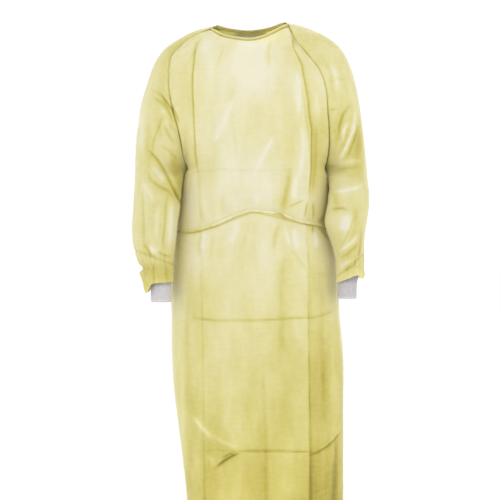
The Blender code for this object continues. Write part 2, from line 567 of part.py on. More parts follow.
def main():
    for item in list(bpy.data.objects):
        bpy.data.objects.remove(item, do_unlink=True)
    gown = bpy.data.collections.new("disposable_gown")
    bpy.context.scene.collection.children.link(gown)

    # Middle surfaces of the front and the back, hem to neck.
    front = np.concatenate(
        [
            body_rows("front", FRONT_FOLDS),
            yoke_rows("front", SEAM_FRONT_RIGHT, SEAM_FRONT_LEFT, NECK_FRONT, FRONT_FOLDS),
        ]
    )
    back = np.concatenate(
        [body_rows("back", BACK_FOLDS), yoke_rows("back", SEAM_BACK_RIGHT, SEAM_BACK_LEFT, NECK_BACK, BACK_FOLDS)]
    )
    under_row = len(side_heights())
    back[:under_row, 0], back[:under_row, -1] = front[:under_row, 0], front[:under_row, -1]

    # Middle surfaces of the sleeves, hem to neck.
    sleeves = {}
    for name, side, crest, rings, column_at in (
        ("right", -1, CREST_RIGHT, RINGS_RIGHT, 0),
        ("left", 1, CREST_LEFT, RINGS_LEFT, -1),
    ):
        sleeves[name] = sleeve_rows(
            side, front[under_row:, column_at], back[under_row:, column_at], crest, rings
        )
    tube = len(RINGS_RIGHT)

    # Normals point out of the garment; sewn edges share one.
    n_front, n_back = grid_normals(front), grid_normals(back, flip=True)
    n_sleeve = {
        "right": grid_normals(sleeves["right"], tube + 1, flip=True),
        "left": grid_normals(sleeves["left"], tube + 1),
    }
    for name, at in (("right", 0), ("left", -1)):
        for j in range(under_row):
            share_normals((n_front, (j, at)), (n_back, (j, at)))
        n = n_sleeve[name]
        n[: tube + 1, -1] = n[: tube + 1, 0]
        corner = unit(n_front[under_row, at] + n_back[under_row, at] + 2 * n[tube, 0])
        n_front[under_row, at] = n_back[under_row, at] = n[tube, 0] = n[tube, -1] = corner
        for k in range(1, RAGLAN_ROWS + 1):
            share_normals((n_front, (under_row + k, at)), (n, (tube + k, 0)))
            share_normals((n_back, (under_row + k, at)), (n, (tube + k, -1)))

    # Front panel and the two back panels, which lap at the centre back.
    gap = SEAM_GAP / 2
    front_pull = (gap, gap, 0, gap)
    build_solid("front_panel", front, n_front, WALL, pull=front_pull, corner_row=under_row, collection=gown)
    build_solid(
        "back_panel_right",
        back[:, : UNDER_END + 1],
        n_back[:, : UNDER_END + 1],
        WALL,
        pull=(gap, 0, 0, gap),
        corner_row=under_row,
        turned=True,
        collection=gown,
    )
    fade = np.clip((PANEL_COLS - np.arange(PANEL_COLS + 1)) / (PANEL_COLS - UNDER_END - 1.0), 0, 1)
    lifted = back + n_back * (LAP_LIFT * fade)[None, :, None]
    build_solid(
        "back_panel_left",
        lifted[:, OVER_START:],
        n_back[:, OVER_START:],
        WALL,
        pull=(0, gap, 0, gap),
        corner_row=under_row,
        turned=True,
        collection=gown,
    )

    # Raglan sleeves with their gathers.
    for name in ("right", "left"):
        build_solid(
            "sleeve_" + name,
            sleeves[name],
            n_sleeve[name],
            WALL,
            tube_rows=tube,
            pull=(gap, gap, 0, gap),
            turned=name == "right",
            collection=gown,
        )

    # Knit cuffs: raised ribs outside, plain inside.
    for name, side, table in (("right", -1, CUFF_RIGHT), ("left", 1, CUFF_LEFT)):
        turn = np.linspace(0, 2 * np.pi, 2 * CUFF_RIBS + 1)
        rib = np.where(np.arange(2 * CUFF_RIBS + 1) % 2 == 0, CUFF_RIB, 0.0)
        outer, inner = [], []
        for z, x, half_x, y, half_y in table[::-1]:
            less = WALL / 2 + 0.0003 + CUFF_RIB if z == table[0][0] else 0.0
            for rows, add in ((outer, rib - less), (inner, 0 * rib - less - CUFF_WALL)):
                rows.append(
                    np.stack(
                        [
                            x - (half_x + add) * np.cos(turn),
                            y - (half_y + add) * np.sin(turn),
                            np.full_like(turn, z),
                        ],
                        axis=1,
                    )
                )
        outer, inner = np.array(outer), np.array(inner)
        middle, apart = (outer + inner) / 2, outer - inner
        build_solid(
            "cuff_" + name,
            middle,
            apart,
            1.0,
            tube_rows=len(table),
            colour=KNIT,
            collection=gown,
        )

    # Neck binding: from the free edge of the upper back panel round the neck to the lower one's.
    def collar(edge_points, edge_normals, inner_points):
        return edge_points, edge_normals, unit(edge_points - inner_points)

    over = slice(OVER_START, PANEL_COLS + 1)
    pieces = [
        collar(lifted[-1, over], n_back[-1, over], lifted[-2, over]),
        collar(sleeves["left"][-1, ::-1], n_sleeve["left"][-1, ::-1], sleeves["left"][-2, ::-1]),
        collar(front[-1, ::-1], n_front[-1, ::-1], front[-2, ::-1]),
        collar(sleeves["right"][-1], n_sleeve["right"][-1], sleeves["right"][-2]),
        collar(back[-1, : UNDER_END + 1], n_back[-1, : UNDER_END + 1], back[-2, : UNDER_END + 1]),
    ]
    line = np.concatenate([p[0][(1 if k else 0) :] for k, p in enumerate(pieces)])
    norm = np.concatenate([p[1][(1 if k else 0) :] for k, p in enumerate(pieces)])
    rise = np.concatenate([p[2][(1 if k else 0) :] for k, p in enumerate(pieces)])
    keep = np.ones(len(line), bool)
    last = line[0]
    for k in range(1, len(line) - 1):
        if np.linalg.norm(line[k] - last) < 0.0035:
            keep[k] = False
        else:
            last = line[k]
    line, norm, rise = line[keep], norm[keep], rise[keep]
    for _ in range(6):
        rise[1:-1] = unit(rise[:-2] + 2 * rise[1:-1] + rise[2:])
    rise = unit(rise - (rise * norm).sum(1, keepdims=True) * norm)
    bottom = line + rise * gap
    band = np.array([bottom, bottom + rise * BIND_H])
    build_solid("neck_binding", band, np.array([norm, norm]), WALL, turned=True, collection=gown)

    # Waist tie: a tape laid on the panels' own points between two rows, moved out.
    low, high = under_row - 2 - TIE_ROW, under_row - 1 - TIE_ROW
    lift = WALL + TIE_LIFT
    fade_over = np.where(np.arange(PANEL_COLS + 1) < OVER_START - 1, 0.0, LAP_LIFT)
    fade_over = np.where(np.arange(PANEL_COLS + 1) > UNDER_END, LAP_LIFT * fade, fade_over)
    tie_rows = []
    for j in (low, high):
        f = front[j] + n_front[j] * lift
        b = back[j] + n_back[j] * (lift + fade_over)[:, None]
        tie_rows.append(np.concatenate([f, b[-2:0:-1], f[:1]]))
    tie_normals = np.array(
        [np.concatenate([n_front[j], n_back[j, -2:0:-1], n_front[j, :1]]) for j in (low, high)]
    )
    build_solid("waist_tie", np.array(tie_rows), tie_normals, WALL, tube_rows=2, collection=gown)

    # Knots and hanging ends of both ties, on the upper back panel's own points, moved out.
    def on_panel(row, at, out):
        j, i = min(int(row), len(lifted) - 2), min(int(at), PANEL_COLS - 1)
        a, b = row - j, at - i
        spots = []
        for grid in (lifted, n_back):
            low_edge = grid[j, i] * (1 - b) + grid[j, i + 1] * b
            high_edge = grid[j + 1, i] * (1 - b) + grid[j + 1, i + 1] * b
            spots.append(low_edge * (1 - a) + high_edge * a)
        normal = unit(spots[1])
        return spots[0] + normal * out, normal

    for tie, row, at, half, base, ends in (
        ("waist", low + 0.5, 10.2, 0.40, WALL + TIE_LIFT + WALL / 2 + 0.0004, WAIST_ENDS),
        ("neck", len(lifted) - 1.12, 9.6, 0.80, WALL / 2 + 0.0006, NECK_ENDS),
    ):
        size = np.array([0.35, 0.8, 1.0, 0.8, 0.35])
        spots = [
            on_panel(row, at + step, base + KNOT_T / 2 * thick)
            for step, thick in zip(np.linspace(-half, half, 5), size)
        ]
        ribbon(
            tie + "_knot",
            [s[0] for s in spots],
            [s[1] for s in spots],
            KNOT_W * (0.6 + 0.4 * size),
            KNOT_T * size,
            gown,
        )
        for name, path in ends:
            spots = [on_panel(j, i, WALL / 2 + 0.0008 + WALL / 2) for j, i in path]
            ribbon(
                f"{tie}_tie_end_{name}",
                [s[0] for s in spots],
                [s[1] for s in spots],
                [END_W] * len(spots),
                [WALL] * len(spots),
                gown,
            )


main()
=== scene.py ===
import math

import bmesh
import bpy
import numpy as np
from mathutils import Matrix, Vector


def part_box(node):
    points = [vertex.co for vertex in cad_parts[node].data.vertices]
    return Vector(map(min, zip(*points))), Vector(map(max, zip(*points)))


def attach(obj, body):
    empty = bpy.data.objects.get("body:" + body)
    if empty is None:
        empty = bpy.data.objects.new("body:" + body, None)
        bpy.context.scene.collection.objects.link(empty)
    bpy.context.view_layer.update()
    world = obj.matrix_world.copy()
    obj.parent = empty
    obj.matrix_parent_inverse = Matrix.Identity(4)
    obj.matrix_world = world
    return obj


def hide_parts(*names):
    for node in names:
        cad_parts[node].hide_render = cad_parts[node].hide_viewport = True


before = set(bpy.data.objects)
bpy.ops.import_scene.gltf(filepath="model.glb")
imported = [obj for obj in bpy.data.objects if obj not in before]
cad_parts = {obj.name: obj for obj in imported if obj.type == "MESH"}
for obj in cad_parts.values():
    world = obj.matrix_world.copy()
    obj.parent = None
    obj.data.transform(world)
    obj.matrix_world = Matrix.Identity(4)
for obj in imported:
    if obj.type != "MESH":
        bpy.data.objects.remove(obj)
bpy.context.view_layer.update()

scene = bpy.context.scene
scene.view_settings.view_transform = "Standard"

# Camera: a portrait view from straight ahead, level with the hips, far enough away to keep the
# sleeves as wide as they look on the gown. It cuts the skirt off at the calf.
CAMERA_AWAY = 4.0
CAMERA_Z = -0.5424
VIEW_WIDTH = 1.2
lens = bpy.data.cameras.new("camera")
lens.sensor_width = 36.0
lens.lens = lens.sensor_width * CAMERA_AWAY / VIEW_WIDTH
camera = bpy.data.objects.new("camera", lens)
camera.location = (0.0, -CAMERA_AWAY, CAMERA_Z)
camera.rotation_euler = (math.pi / 2, 0.0, 0.0)
scene.collection.objects.link(camera)
scene.camera = camera


# Front panel: the whole front from hem to neck, one piece of thin spunbond polypropylene. It was
# packed folded, so folding creases run down and across it. The waist tie gathers it, and the
# skirt hangs free below.
CAD_WALL = 0.0012
CLOTH_THICKNESS = 0.0005
PANEL_STEP = 0.0037


def cloth_rows(node, tube=False):
    """The outer face of a CAD cloth node as rows of points, lowest first, with the outward side facing out.

    A node's triangles come from a grid whose cells are all cut along the same diagonal. Each corner
    gets whole-number places on that grid, passed on from neighbour to neighbour.
    """
    bm = bmesh.new()
    bm.from_mesh(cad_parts[node].data)
    bmesh.ops.remove_doubles(bm, verts=bm.verts, dist=1e-6)
    rim = [f for f in bm.faces if any(abs(e.calc_length() - CAD_WALL) < 1e-6 for e in f.edges)]
    bmesh.ops.delete(bm, geom=rim, context="FACES")
    middle = sum((v.co for v in bm.verts), Vector()) / len(bm.verts)
    layers, known = [], {}
    for first in bm.faces:
        if first in known:
            continue
        known[first] = dict(zip(first.verts, ((0, 0), (1, 0), (0, 1))))
        layer = [first]
        for face in layer:
            here = known[face]
            for edge in face.edges:
                for other in edge.link_faces:
                    if other not in known:
                        p, q = edge.verts
                        (r,) = set(face.verts) - {p, q}
                        (s,) = set(other.verts) - {p, q}
                        place = tuple(here[p][k] + here[q][k] - here[r][k] for k in (0, 1))
                        known[other] = {p: here[p], q: here[q], s: place}
                        layer.append(other)
        layers.append(layer)

    def faces_out(layer):
        return sum(f.normal.dot(f.calc_center_median() - middle) * f.calc_area() for f in layer)

    outer = max(layers, key=faces_out)

    # The cells' two sides are the directions that the open edges run in, and the third direction
    # is the diagonal. The side that climbs more steeply runs along the rows' numbers.
    def step_of(face, a, b):
        step = tuple(known[face][b][k] - known[face][a][k] for k in (0, 1))
        return max(step, (-step[0], -step[1]))

    open_ways = {step_of(f, *e.verts) for f in outer for e in f.edges if e.is_boundary}
    lengths = {way: [] for way in {(1, 0), (0, 1), (1, -1)} - open_ways}
    for face in outer:
        for edge in face.edges:
            way = step_of(face, *edge.verts)
            if way in lengths:
                lengths[way].append(edge.calc_length())
    diagonal = max(lengths, key=lambda way: np.mean(lengths[way]))
    turned = {(1, -1): (1, 0, 0, 1), (1, 0): (1, 1, 1, 0), (0, 1): (1, 1, 0, -1)}[diagonal]
    climb = {0: [], 1: []}
    spots = {}
    for face in outer:
        at = {
            v: (p * turned[0] + q * turned[1], p * turned[2] + q * turned[3])
            for v, (p, q) in known[face].items()
        }
        for v in face.verts:
            spots.setdefault(v, at[v])
            for w in face.verts:
                move = (at[w][0] - at[v][0], at[w][1] - at[v][1])
                if abs(move[0]) + abs(move[1]) == 1:
                    climb[abs(move[1])].append(abs(w.co.z - v.co.z))
    up = 0 if np.mean(climb[0]) > np.mean(climb[1]) else 1
    rows = {}
    for v, at in spots.items():
        rows.setdefault(at[up], []).append(v)
    order = sorted(rows)
    if np.mean([v.co.z for v in rows[order[0]]]) > np.mean([v.co.z for v in rows[order[-1]]]):
        order.reverse()
    row_of = {r: j for j, r in enumerate(order)}
    across = {v: at[1 - up] for v, at in spots.items()}

    # A tube is opened along the column that its slit, or else its first column, lies on.
    around = len(rows[order[0]]) if tube else 0
    if tube:
        slit = [
            across[a]
            for a, b in (e.verts for e in bm.edges if e.is_boundary and e.verts[0] in spots)
            if b in spots and across[a] == across[b]
        ]
        start = slit[0] if slit else min(across.values())
        across = {v: (c - start) % around for v, c in across.items()}
    else:
        start = min(across.values())
        across = {v: c - start for v, c in across.items()}
    columns = (around if tube else max(across.values())) + 1
    points = np.full((len(order), columns, 3), np.nan)
    for v, at in spots.items():
        sides = {across[v]}
        if tube and across[v] == 0:
            beside = {across[w] for f in v.link_faces for w in f.verts}
            sides = ({0} if 1 in beside else set()) | ({around} if around - 1 in beside else set())
        for column in sides:
            points[row_of[at[up]], column] = v.co

    # The columns run so that the cross product of across and along points out of the garment.
    v = outer[0].verts[0]
    j, i = row_of[spots[v][up]], across[v]
    j, i = min(j, len(order) - 2), min(i, columns - 2)
    bm.normal_update()
    facing = np.cross(points[j, i + 1] - points[j, i], points[j + 1, i] - points[j, i])
    out = sum((f.normal for f in v.link_faces), Vector())
    bm.free()
    return points if facing.dot(np.array(out)) > 0 else points[:, ::-1]


def spread(count, places):
    """Weights that carry a row of points over to more places along it, on a smooth curve through them."""
    weights = np.zeros((len(places), count))
    for k, place in enumerate(places):
        i = min(int(place), count - 2)
        t = place - i
        near = (
            (-t + 2 * t**2 - t**3) / 2,
            (2 - 5 * t**2 + 3 * t**3) / 2,
            (t + 4 * t**2 - 3 * t**3) / 2,
            (t**3 - t**2) / 2,
        )
        for j, share in zip(range(i - 1, i + 3), near):
            edge = min(max(j, 0), count - 1)
            inner = edge + (j < 0) - (j >= count)
            weights[k, edge] += share * (2 if inner != edge else 1)
            weights[k, inner] -= share * (inner != edge)
    return weights


def finer(points, step):
    """The same rows of points cut to about one step apart both ways."""
    for axis in (0, 1):
        gaps = np.linalg.norm(np.diff(points, axis=axis), axis=2).mean(axis=1 - axis)
        places = [0.0]
        for k, gap in enumerate(gaps):
            parts = max(1, round(gap / step))
            places += [k + (m + 1) / parts for m in range(parts)]
        points = np.moveaxis(np.tensordot(spread(points.shape[axis], places), points, (1, axis)), 0, axis)
    return points


def unit(vectors):
    return vectors / np.maximum(np.linalg.norm(vectors, axis=-1, keepdims=True), 1e-12)


def outward(points):
    return unit(np.cross(np.gradient(points, axis=1), np.gradient(points, axis=0)))


def seen_flat(points):
    """Where points lie, in mm, on an upright sheet at the neck when looked at from straight ahead."""
    scale = CAMERA_AWAY / (CAMERA_AWAY + points[..., 1])
    x = points[..., 0] * scale
    z = CAMERA_Z + (points[..., 2] - CAMERA_Z) * scale
    return np.stack([x, z], axis=-1) * 1000


def smooth(t):
    t = np.clip(t, 0, 1)
    return t * t * (3 - 2 * t)


# A fold fades at both ends over this share of its run, or over 45 mm where that is less. Its lip,
# its sharp core, its soft foot and its reach are given in half widths of the fold.
FADE = 0.36
FADE_MOST = 45.0
LIP_OFF = 1.9
LIP_HALF = 1.2
CORE_HALF = 0.85
FOOT_HALF = 2.8
FOLD_REACH = 7


def fold(flat, folds):
    """How far folds lift each place, in mm, and their painted shade and painted highlights."""
    lift = np.zeros(flat.shape[:-1])
    tone = np.zeros(flat.shape[:-1])
    for _, height, half, lip, deepen, path in folds:
        path = np.array(path, float)
        lengths = np.linalg.norm(np.diff(path, axis=0), axis=1)
        total, run = lengths.sum(), 0.0
        low, high = path.min(axis=0) - FOLD_REACH * half, path.max(axis=0) + FOLD_REACH * half
        near = ((flat > low) & (flat < high)).all(axis=-1)
        at = flat[near]
        best = np.full(len(at), np.inf)
        side = np.zeros(len(at))
        share = np.zeros(len(at))
        for start, end, length in zip(path[:-1], path[1:], lengths):
            way = (end - start) / length
            t = np.clip((at - start) @ way, 0, length)
            off = at - start - t[:, None] * way
            distance = np.linalg.norm(off, axis=1)
            closer = distance < best
            best[closer] = distance[closer]
            side[closer] = (way[0] * off[:, 1] - way[1] * off[:, 0])[closer]
            share[closer] = ((run + t) / total)[closer]
            run += length
        fade = min(FADE, FADE_MOST / total)
        taper = smooth(share / fade) * smooth((1 - share) / fade)
        signed = best * np.sign(side)
        body = np.exp(-((best / half) ** 2))
        edge = np.exp(-(((signed - np.sign(lip) * LIP_OFF * half) / (LIP_HALF * half)) ** 2))
        foot = np.exp(-((best / (FOOT_HALF * half)) ** 2))
        core = np.exp(-((best / (CORE_HALF * half)) ** 2))
        lift[near] += taper * (height * (0.8 * body + 0.25 * foot) + abs(height) * 0.6 * abs(lip) * edge)
        # Painted shade in the core and foot of a trough, and a painted highlight on its lip; rolls take a
        # negative value, a painted highlight along their crest.
        tone[near] += taper * deepen * (0.78 * core + 0.22 * foot - 0.25 * abs(lip) * edge)
    return lift, tone


def rumple(flat, size, seed):
    """Soft unevenness between -1 and 1: random heights on a lattice of the given size, smoothly joined."""
    heights = np.random.default_rng(seed).uniform(-1, 1, (64, 64))
    place = flat / np.array(size, float) + 17.3 + seed
    cell = np.floor(place).astype(int)
    t = smooth(place - cell)
    a, b = cell[..., 0] % 64, cell[..., 1] % 64
    c, d = (a + 1) % 64, (b + 1) % 64
    low = heights[a, b] * (1 - t[..., 0]) + heights[c, b] * t[..., 0]
    high = heights[a, d] * (1 - t[..., 0]) + heights[c, d] * t[..., 0]
    return low * (1 - t[..., 1]) + high * t[..., 1]


def run_along(points, axis):
    """How far each point lies along its row or column, in mm."""
    steps = np.diff(points, axis=axis, prepend=np.take(points, [0], axis=axis))
    return np.cumsum(np.linalg.norm(steps, axis=2), axis=axis) * 1000


SEAM_DIP = 1.0
SEAM_HALF = 1.9
PUCKER = 0.55
PUCKER_REACH = 13.0
TUCK = 0.7
TUCK_HALF = 1.6


def sew_edges(points, edges, seed):
    """A dip along each sewn edge, with the puckers that its stitching pulls, and the yellow it deepens."""
    across, along = run_along(points, 1), run_along(points, 0)
    rows = np.arange(points.shape[0])[:, None]
    columns = np.arange(points.shape[1])[None]
    lift = np.zeros(points.shape[:2])
    tone = np.zeros(points.shape[:2])
    tuck = np.zeros(points.shape)
    sideways = unit(np.gradient(points, axis=1))
    upwards = unit(np.gradient(points, axis=0))
    for number, (edge, distance, run, count, way) in enumerate(
        (
            ("left", across, along, rows, -sideways),
            ("right", across[:, -1:] - across, along, rows, sideways),
            ("top", along[-1:] - along, across, columns, upwards),
        )
    ):
        if edge not in edges:
            continue
        within = smooth((count + 2) / 3)
        dip = np.exp(-((distance / SEAM_HALF) ** 2))
        waves = rumple(np.stack([run, distance * 0.3], axis=-1), (9, 30), seed * 5 + number)
        lift += within * (-SEAM_DIP * dip + PUCKER * waves * np.exp(-distance / PUCKER_REACH) * (1 - dip))
        tone += within * (0.42 * dip + 0.12 * waves * np.exp(-distance / PUCKER_REACH))
        tuck += (within * TUCK * np.exp(-((distance / TUCK_HALF) ** 2)))[..., None] / 1000 * way
    return lift, tone, tuck


def linear(code):
    """A colour picked as sRGB hex, as the linear numbers that Blender works in."""
    parts = [int(code[k : k + 2], 16) / 255 for k in (0, 2, 4)]
    return (*(c / 12.92 if c <= 0.04045 else ((c + 0.055) / 1.055) ** 2.4 for c in parts), 1.0)


def add_node(material, kind, settings=None, links=None):
    """A node with its settings, by socket name or property, and the outputs that feed its sockets."""
    node = material.node_tree.nodes.new(kind)
    for name, value in (settings or {}).items():
        if isinstance(name, int) or name in node.inputs:
            node.inputs[name].default_value = value
        else:
            setattr(node, name, value)
    for name, output in (links or {}).items():
        material.node_tree.links.new(output, node.inputs[name])
    return node


def new_finish(name, sockets):
    """A material and its shader, with the values that are the same all over the surface."""
    material = bpy.data.materials.new(name)
    material.use_nodes = True
    shader = material.node_tree.nodes["Principled BSDF"]
    for socket, value in sockets.items():
        shader.inputs[socket].default_value = value
    return material, shader


# Spunbond polypropylene: a web of fine melt-spun threads, bonded by a heated roller. It gives the
# eye a soft satin yellow, cloudy where the web lies thicker. Subsurface scattering stands for the
# light that passes through it. The roller's bond points are 1 mm apart, too fine to show, so they
# are drawn at 2.4 mm. How deep the yellow is at a place also comes from the piece's tone, which
# carries painted shade and painted highlights.
BOND_PITCH = 2.4
CLOUD_SIZE = 58.0
STREAK_SIZE = 9.0


def spunbond(name, yellows):
    sockets = {"Roughness": 0.52, "IOR": 1.49, "Specular IOR Level": 0.32}
    sockets |= {"Sheen Weight": 0.18, "Sheen Roughness": 0.45}
    sockets |= {"Subsurface Weight": 0.75, "Subsurface Radius": (1.0, 1.0, 0.6), "Subsurface Scale": 0.002}
    cloth, shader = new_finish(name, sockets)
    place = add_node(cloth, "ShaderNodeTexCoord").outputs["Object"]
    tall = add_node(cloth, "ShaderNodeMapping", {"Scale": (1.0, 1.0, 0.38)}, {"Vector": place})
    wide = add_node(cloth, "ShaderNodeMapping", {"Scale": (0.4, 0.4, 1.3)}, {"Vector": place})
    settings = {"Scale": 1000 / CLOUD_SIZE, "Detail": 4.0, "Roughness": 0.55}
    clouds = add_node(cloth, "ShaderNodeTexNoise", settings, {"Vector": tall.outputs["Vector"]})
    settings = {"Scale": 1000 / STREAK_SIZE, "Detail": 3.0, "Roughness": 0.6}
    streaks = add_node(cloth, "ShaderNodeTexNoise", settings, {"Vector": wide.outputs["Vector"]})
    tone = add_node(cloth, "ShaderNodeAttribute", {"attribute_name": "tone"}).outputs["Fac"]
    mottle = add_node(
        cloth, "ShaderNodeMath", {"operation": "MULTIPLY_ADD", 1: 0.64, 2: -0.32}, {0: clouds.outputs["Fac"]}
    )
    web = add_node(
        cloth, "ShaderNodeMath", {"operation": "MULTIPLY_ADD", 1: 0.16, 2: -0.08}, {0: streaks.outputs["Fac"]}
    )
    both = add_node(cloth, "ShaderNodeMath", {"operation": "ADD"}, {0: mottle.outputs[0], 1: web.outputs[0]})
    depth = add_node(cloth, "ShaderNodeMath", {"operation": "ADD"}, {0: both.outputs[0], 1: tone})
    ramp = add_node(cloth, "ShaderNodeValToRGB", links={"Fac": depth.outputs["Value"]})
    while len(ramp.color_ramp.elements) < len(yellows):
        ramp.color_ramp.elements.new(0.5)
    for stop, (position, yellow) in zip(ramp.color_ramp.elements, yellows):
        stop.position = position
        stop.color = linear(yellow)
    cloth.node_tree.links.new(ramp.outputs["Color"], shader.inputs["Base Color"])
    bonds = add_node(
        cloth, "ShaderNodeTexVoronoi", {"Scale": 1000 / BOND_PITCH, "Randomness": 0.35}, {"Vector": place}
    )
    fibres = add_node(
        cloth, "ShaderNodeTexNoise", {"Scale": 420.0, "Detail": 2.0}, {"Vector": tall.outputs["Vector"]}
    )
    links = {0: bonds.outputs["Distance"], 2: fibres.outputs["Fac"]}
    grain = add_node(cloth, "ShaderNodeMath", {"operation": "MULTIPLY_ADD", 1: 0.5}, links)
    links = {0: streaks.outputs["Fac"], 2: grain.outputs["Value"]}
    crinkle = add_node(cloth, "ShaderNodeMath", {"operation": "MULTIPLY_ADD", 1: 1.5}, links)
    bump = add_node(
        cloth, "ShaderNodeBump", {"Strength": 0.3, "Distance": 0.0007}, {"Height": crinkle.outputs["Value"]}
    )
    cloth.node_tree.links.new(bump.outputs["Normal"], shader.inputs["Normal"])
    return cloth


YELLOWS = ((0.0, "E9E2C3"), (0.3, "DCD39A"), (0.55, "CDC276"), (0.8, "B6A94E"), (1.0, "8D822F"))
yellow_spunbond = spunbond("yellow_spunbond_polypropylene", YELLOWS)


def lay_cloth(
    name, points, tone, node, material=yellow_spunbond, thickness=CLOTH_THICKNESS
):
    """A piece of cloth on rows of points, its UV map in metres across and along, its wall turned inwards."""
    rows, columns = points.shape[:2]
    bm = bmesh.new()
    uv = bm.loops.layers.uv.new("cloth")
    bmesh.ops.create_grid(bm, x_segments=columns - 1, y_segments=rows - 1, size=1)
    bm.verts.ensure_lookup_table()
    width = np.linalg.norm(np.diff(points, axis=1), axis=2).sum(axis=1).mean()
    height = np.linalg.norm(np.diff(points, axis=0), axis=2).sum(axis=0).mean()
    shade = bm.verts.layers.float.new("tone")
    flat_points, flat_tone = points.reshape(-1, 3), tone.reshape(-1)
    for k, v in enumerate(bm.verts):
        v.co = flat_points[k]
        v[shade] = float(flat_tone[k])
    for f in bm.faces:
        f.smooth = True
        for corner in f.loops:
            j, i = divmod(corner.vert.index, columns)
            corner[uv].uv = (i / (columns - 1) * width, j / (rows - 1) * height)
    bmesh.ops.remove_doubles(bm, verts=bm.verts, dist=1e-6)
    mesh = bpy.data.meshes.new(name)
    bm.to_mesh(mesh)
    bm.free()
    piece = bpy.data.objects.new(name, mesh)
    scene.collection.objects.link(piece)
    mesh.materials.append(material)
    if thickness:
        wall = piece.modifiers.new("wall", "SOLIDIFY")
        wall.thickness = thickness
        wall.offset = -1.0
    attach(piece, "root")
    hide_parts(node)
    return piece
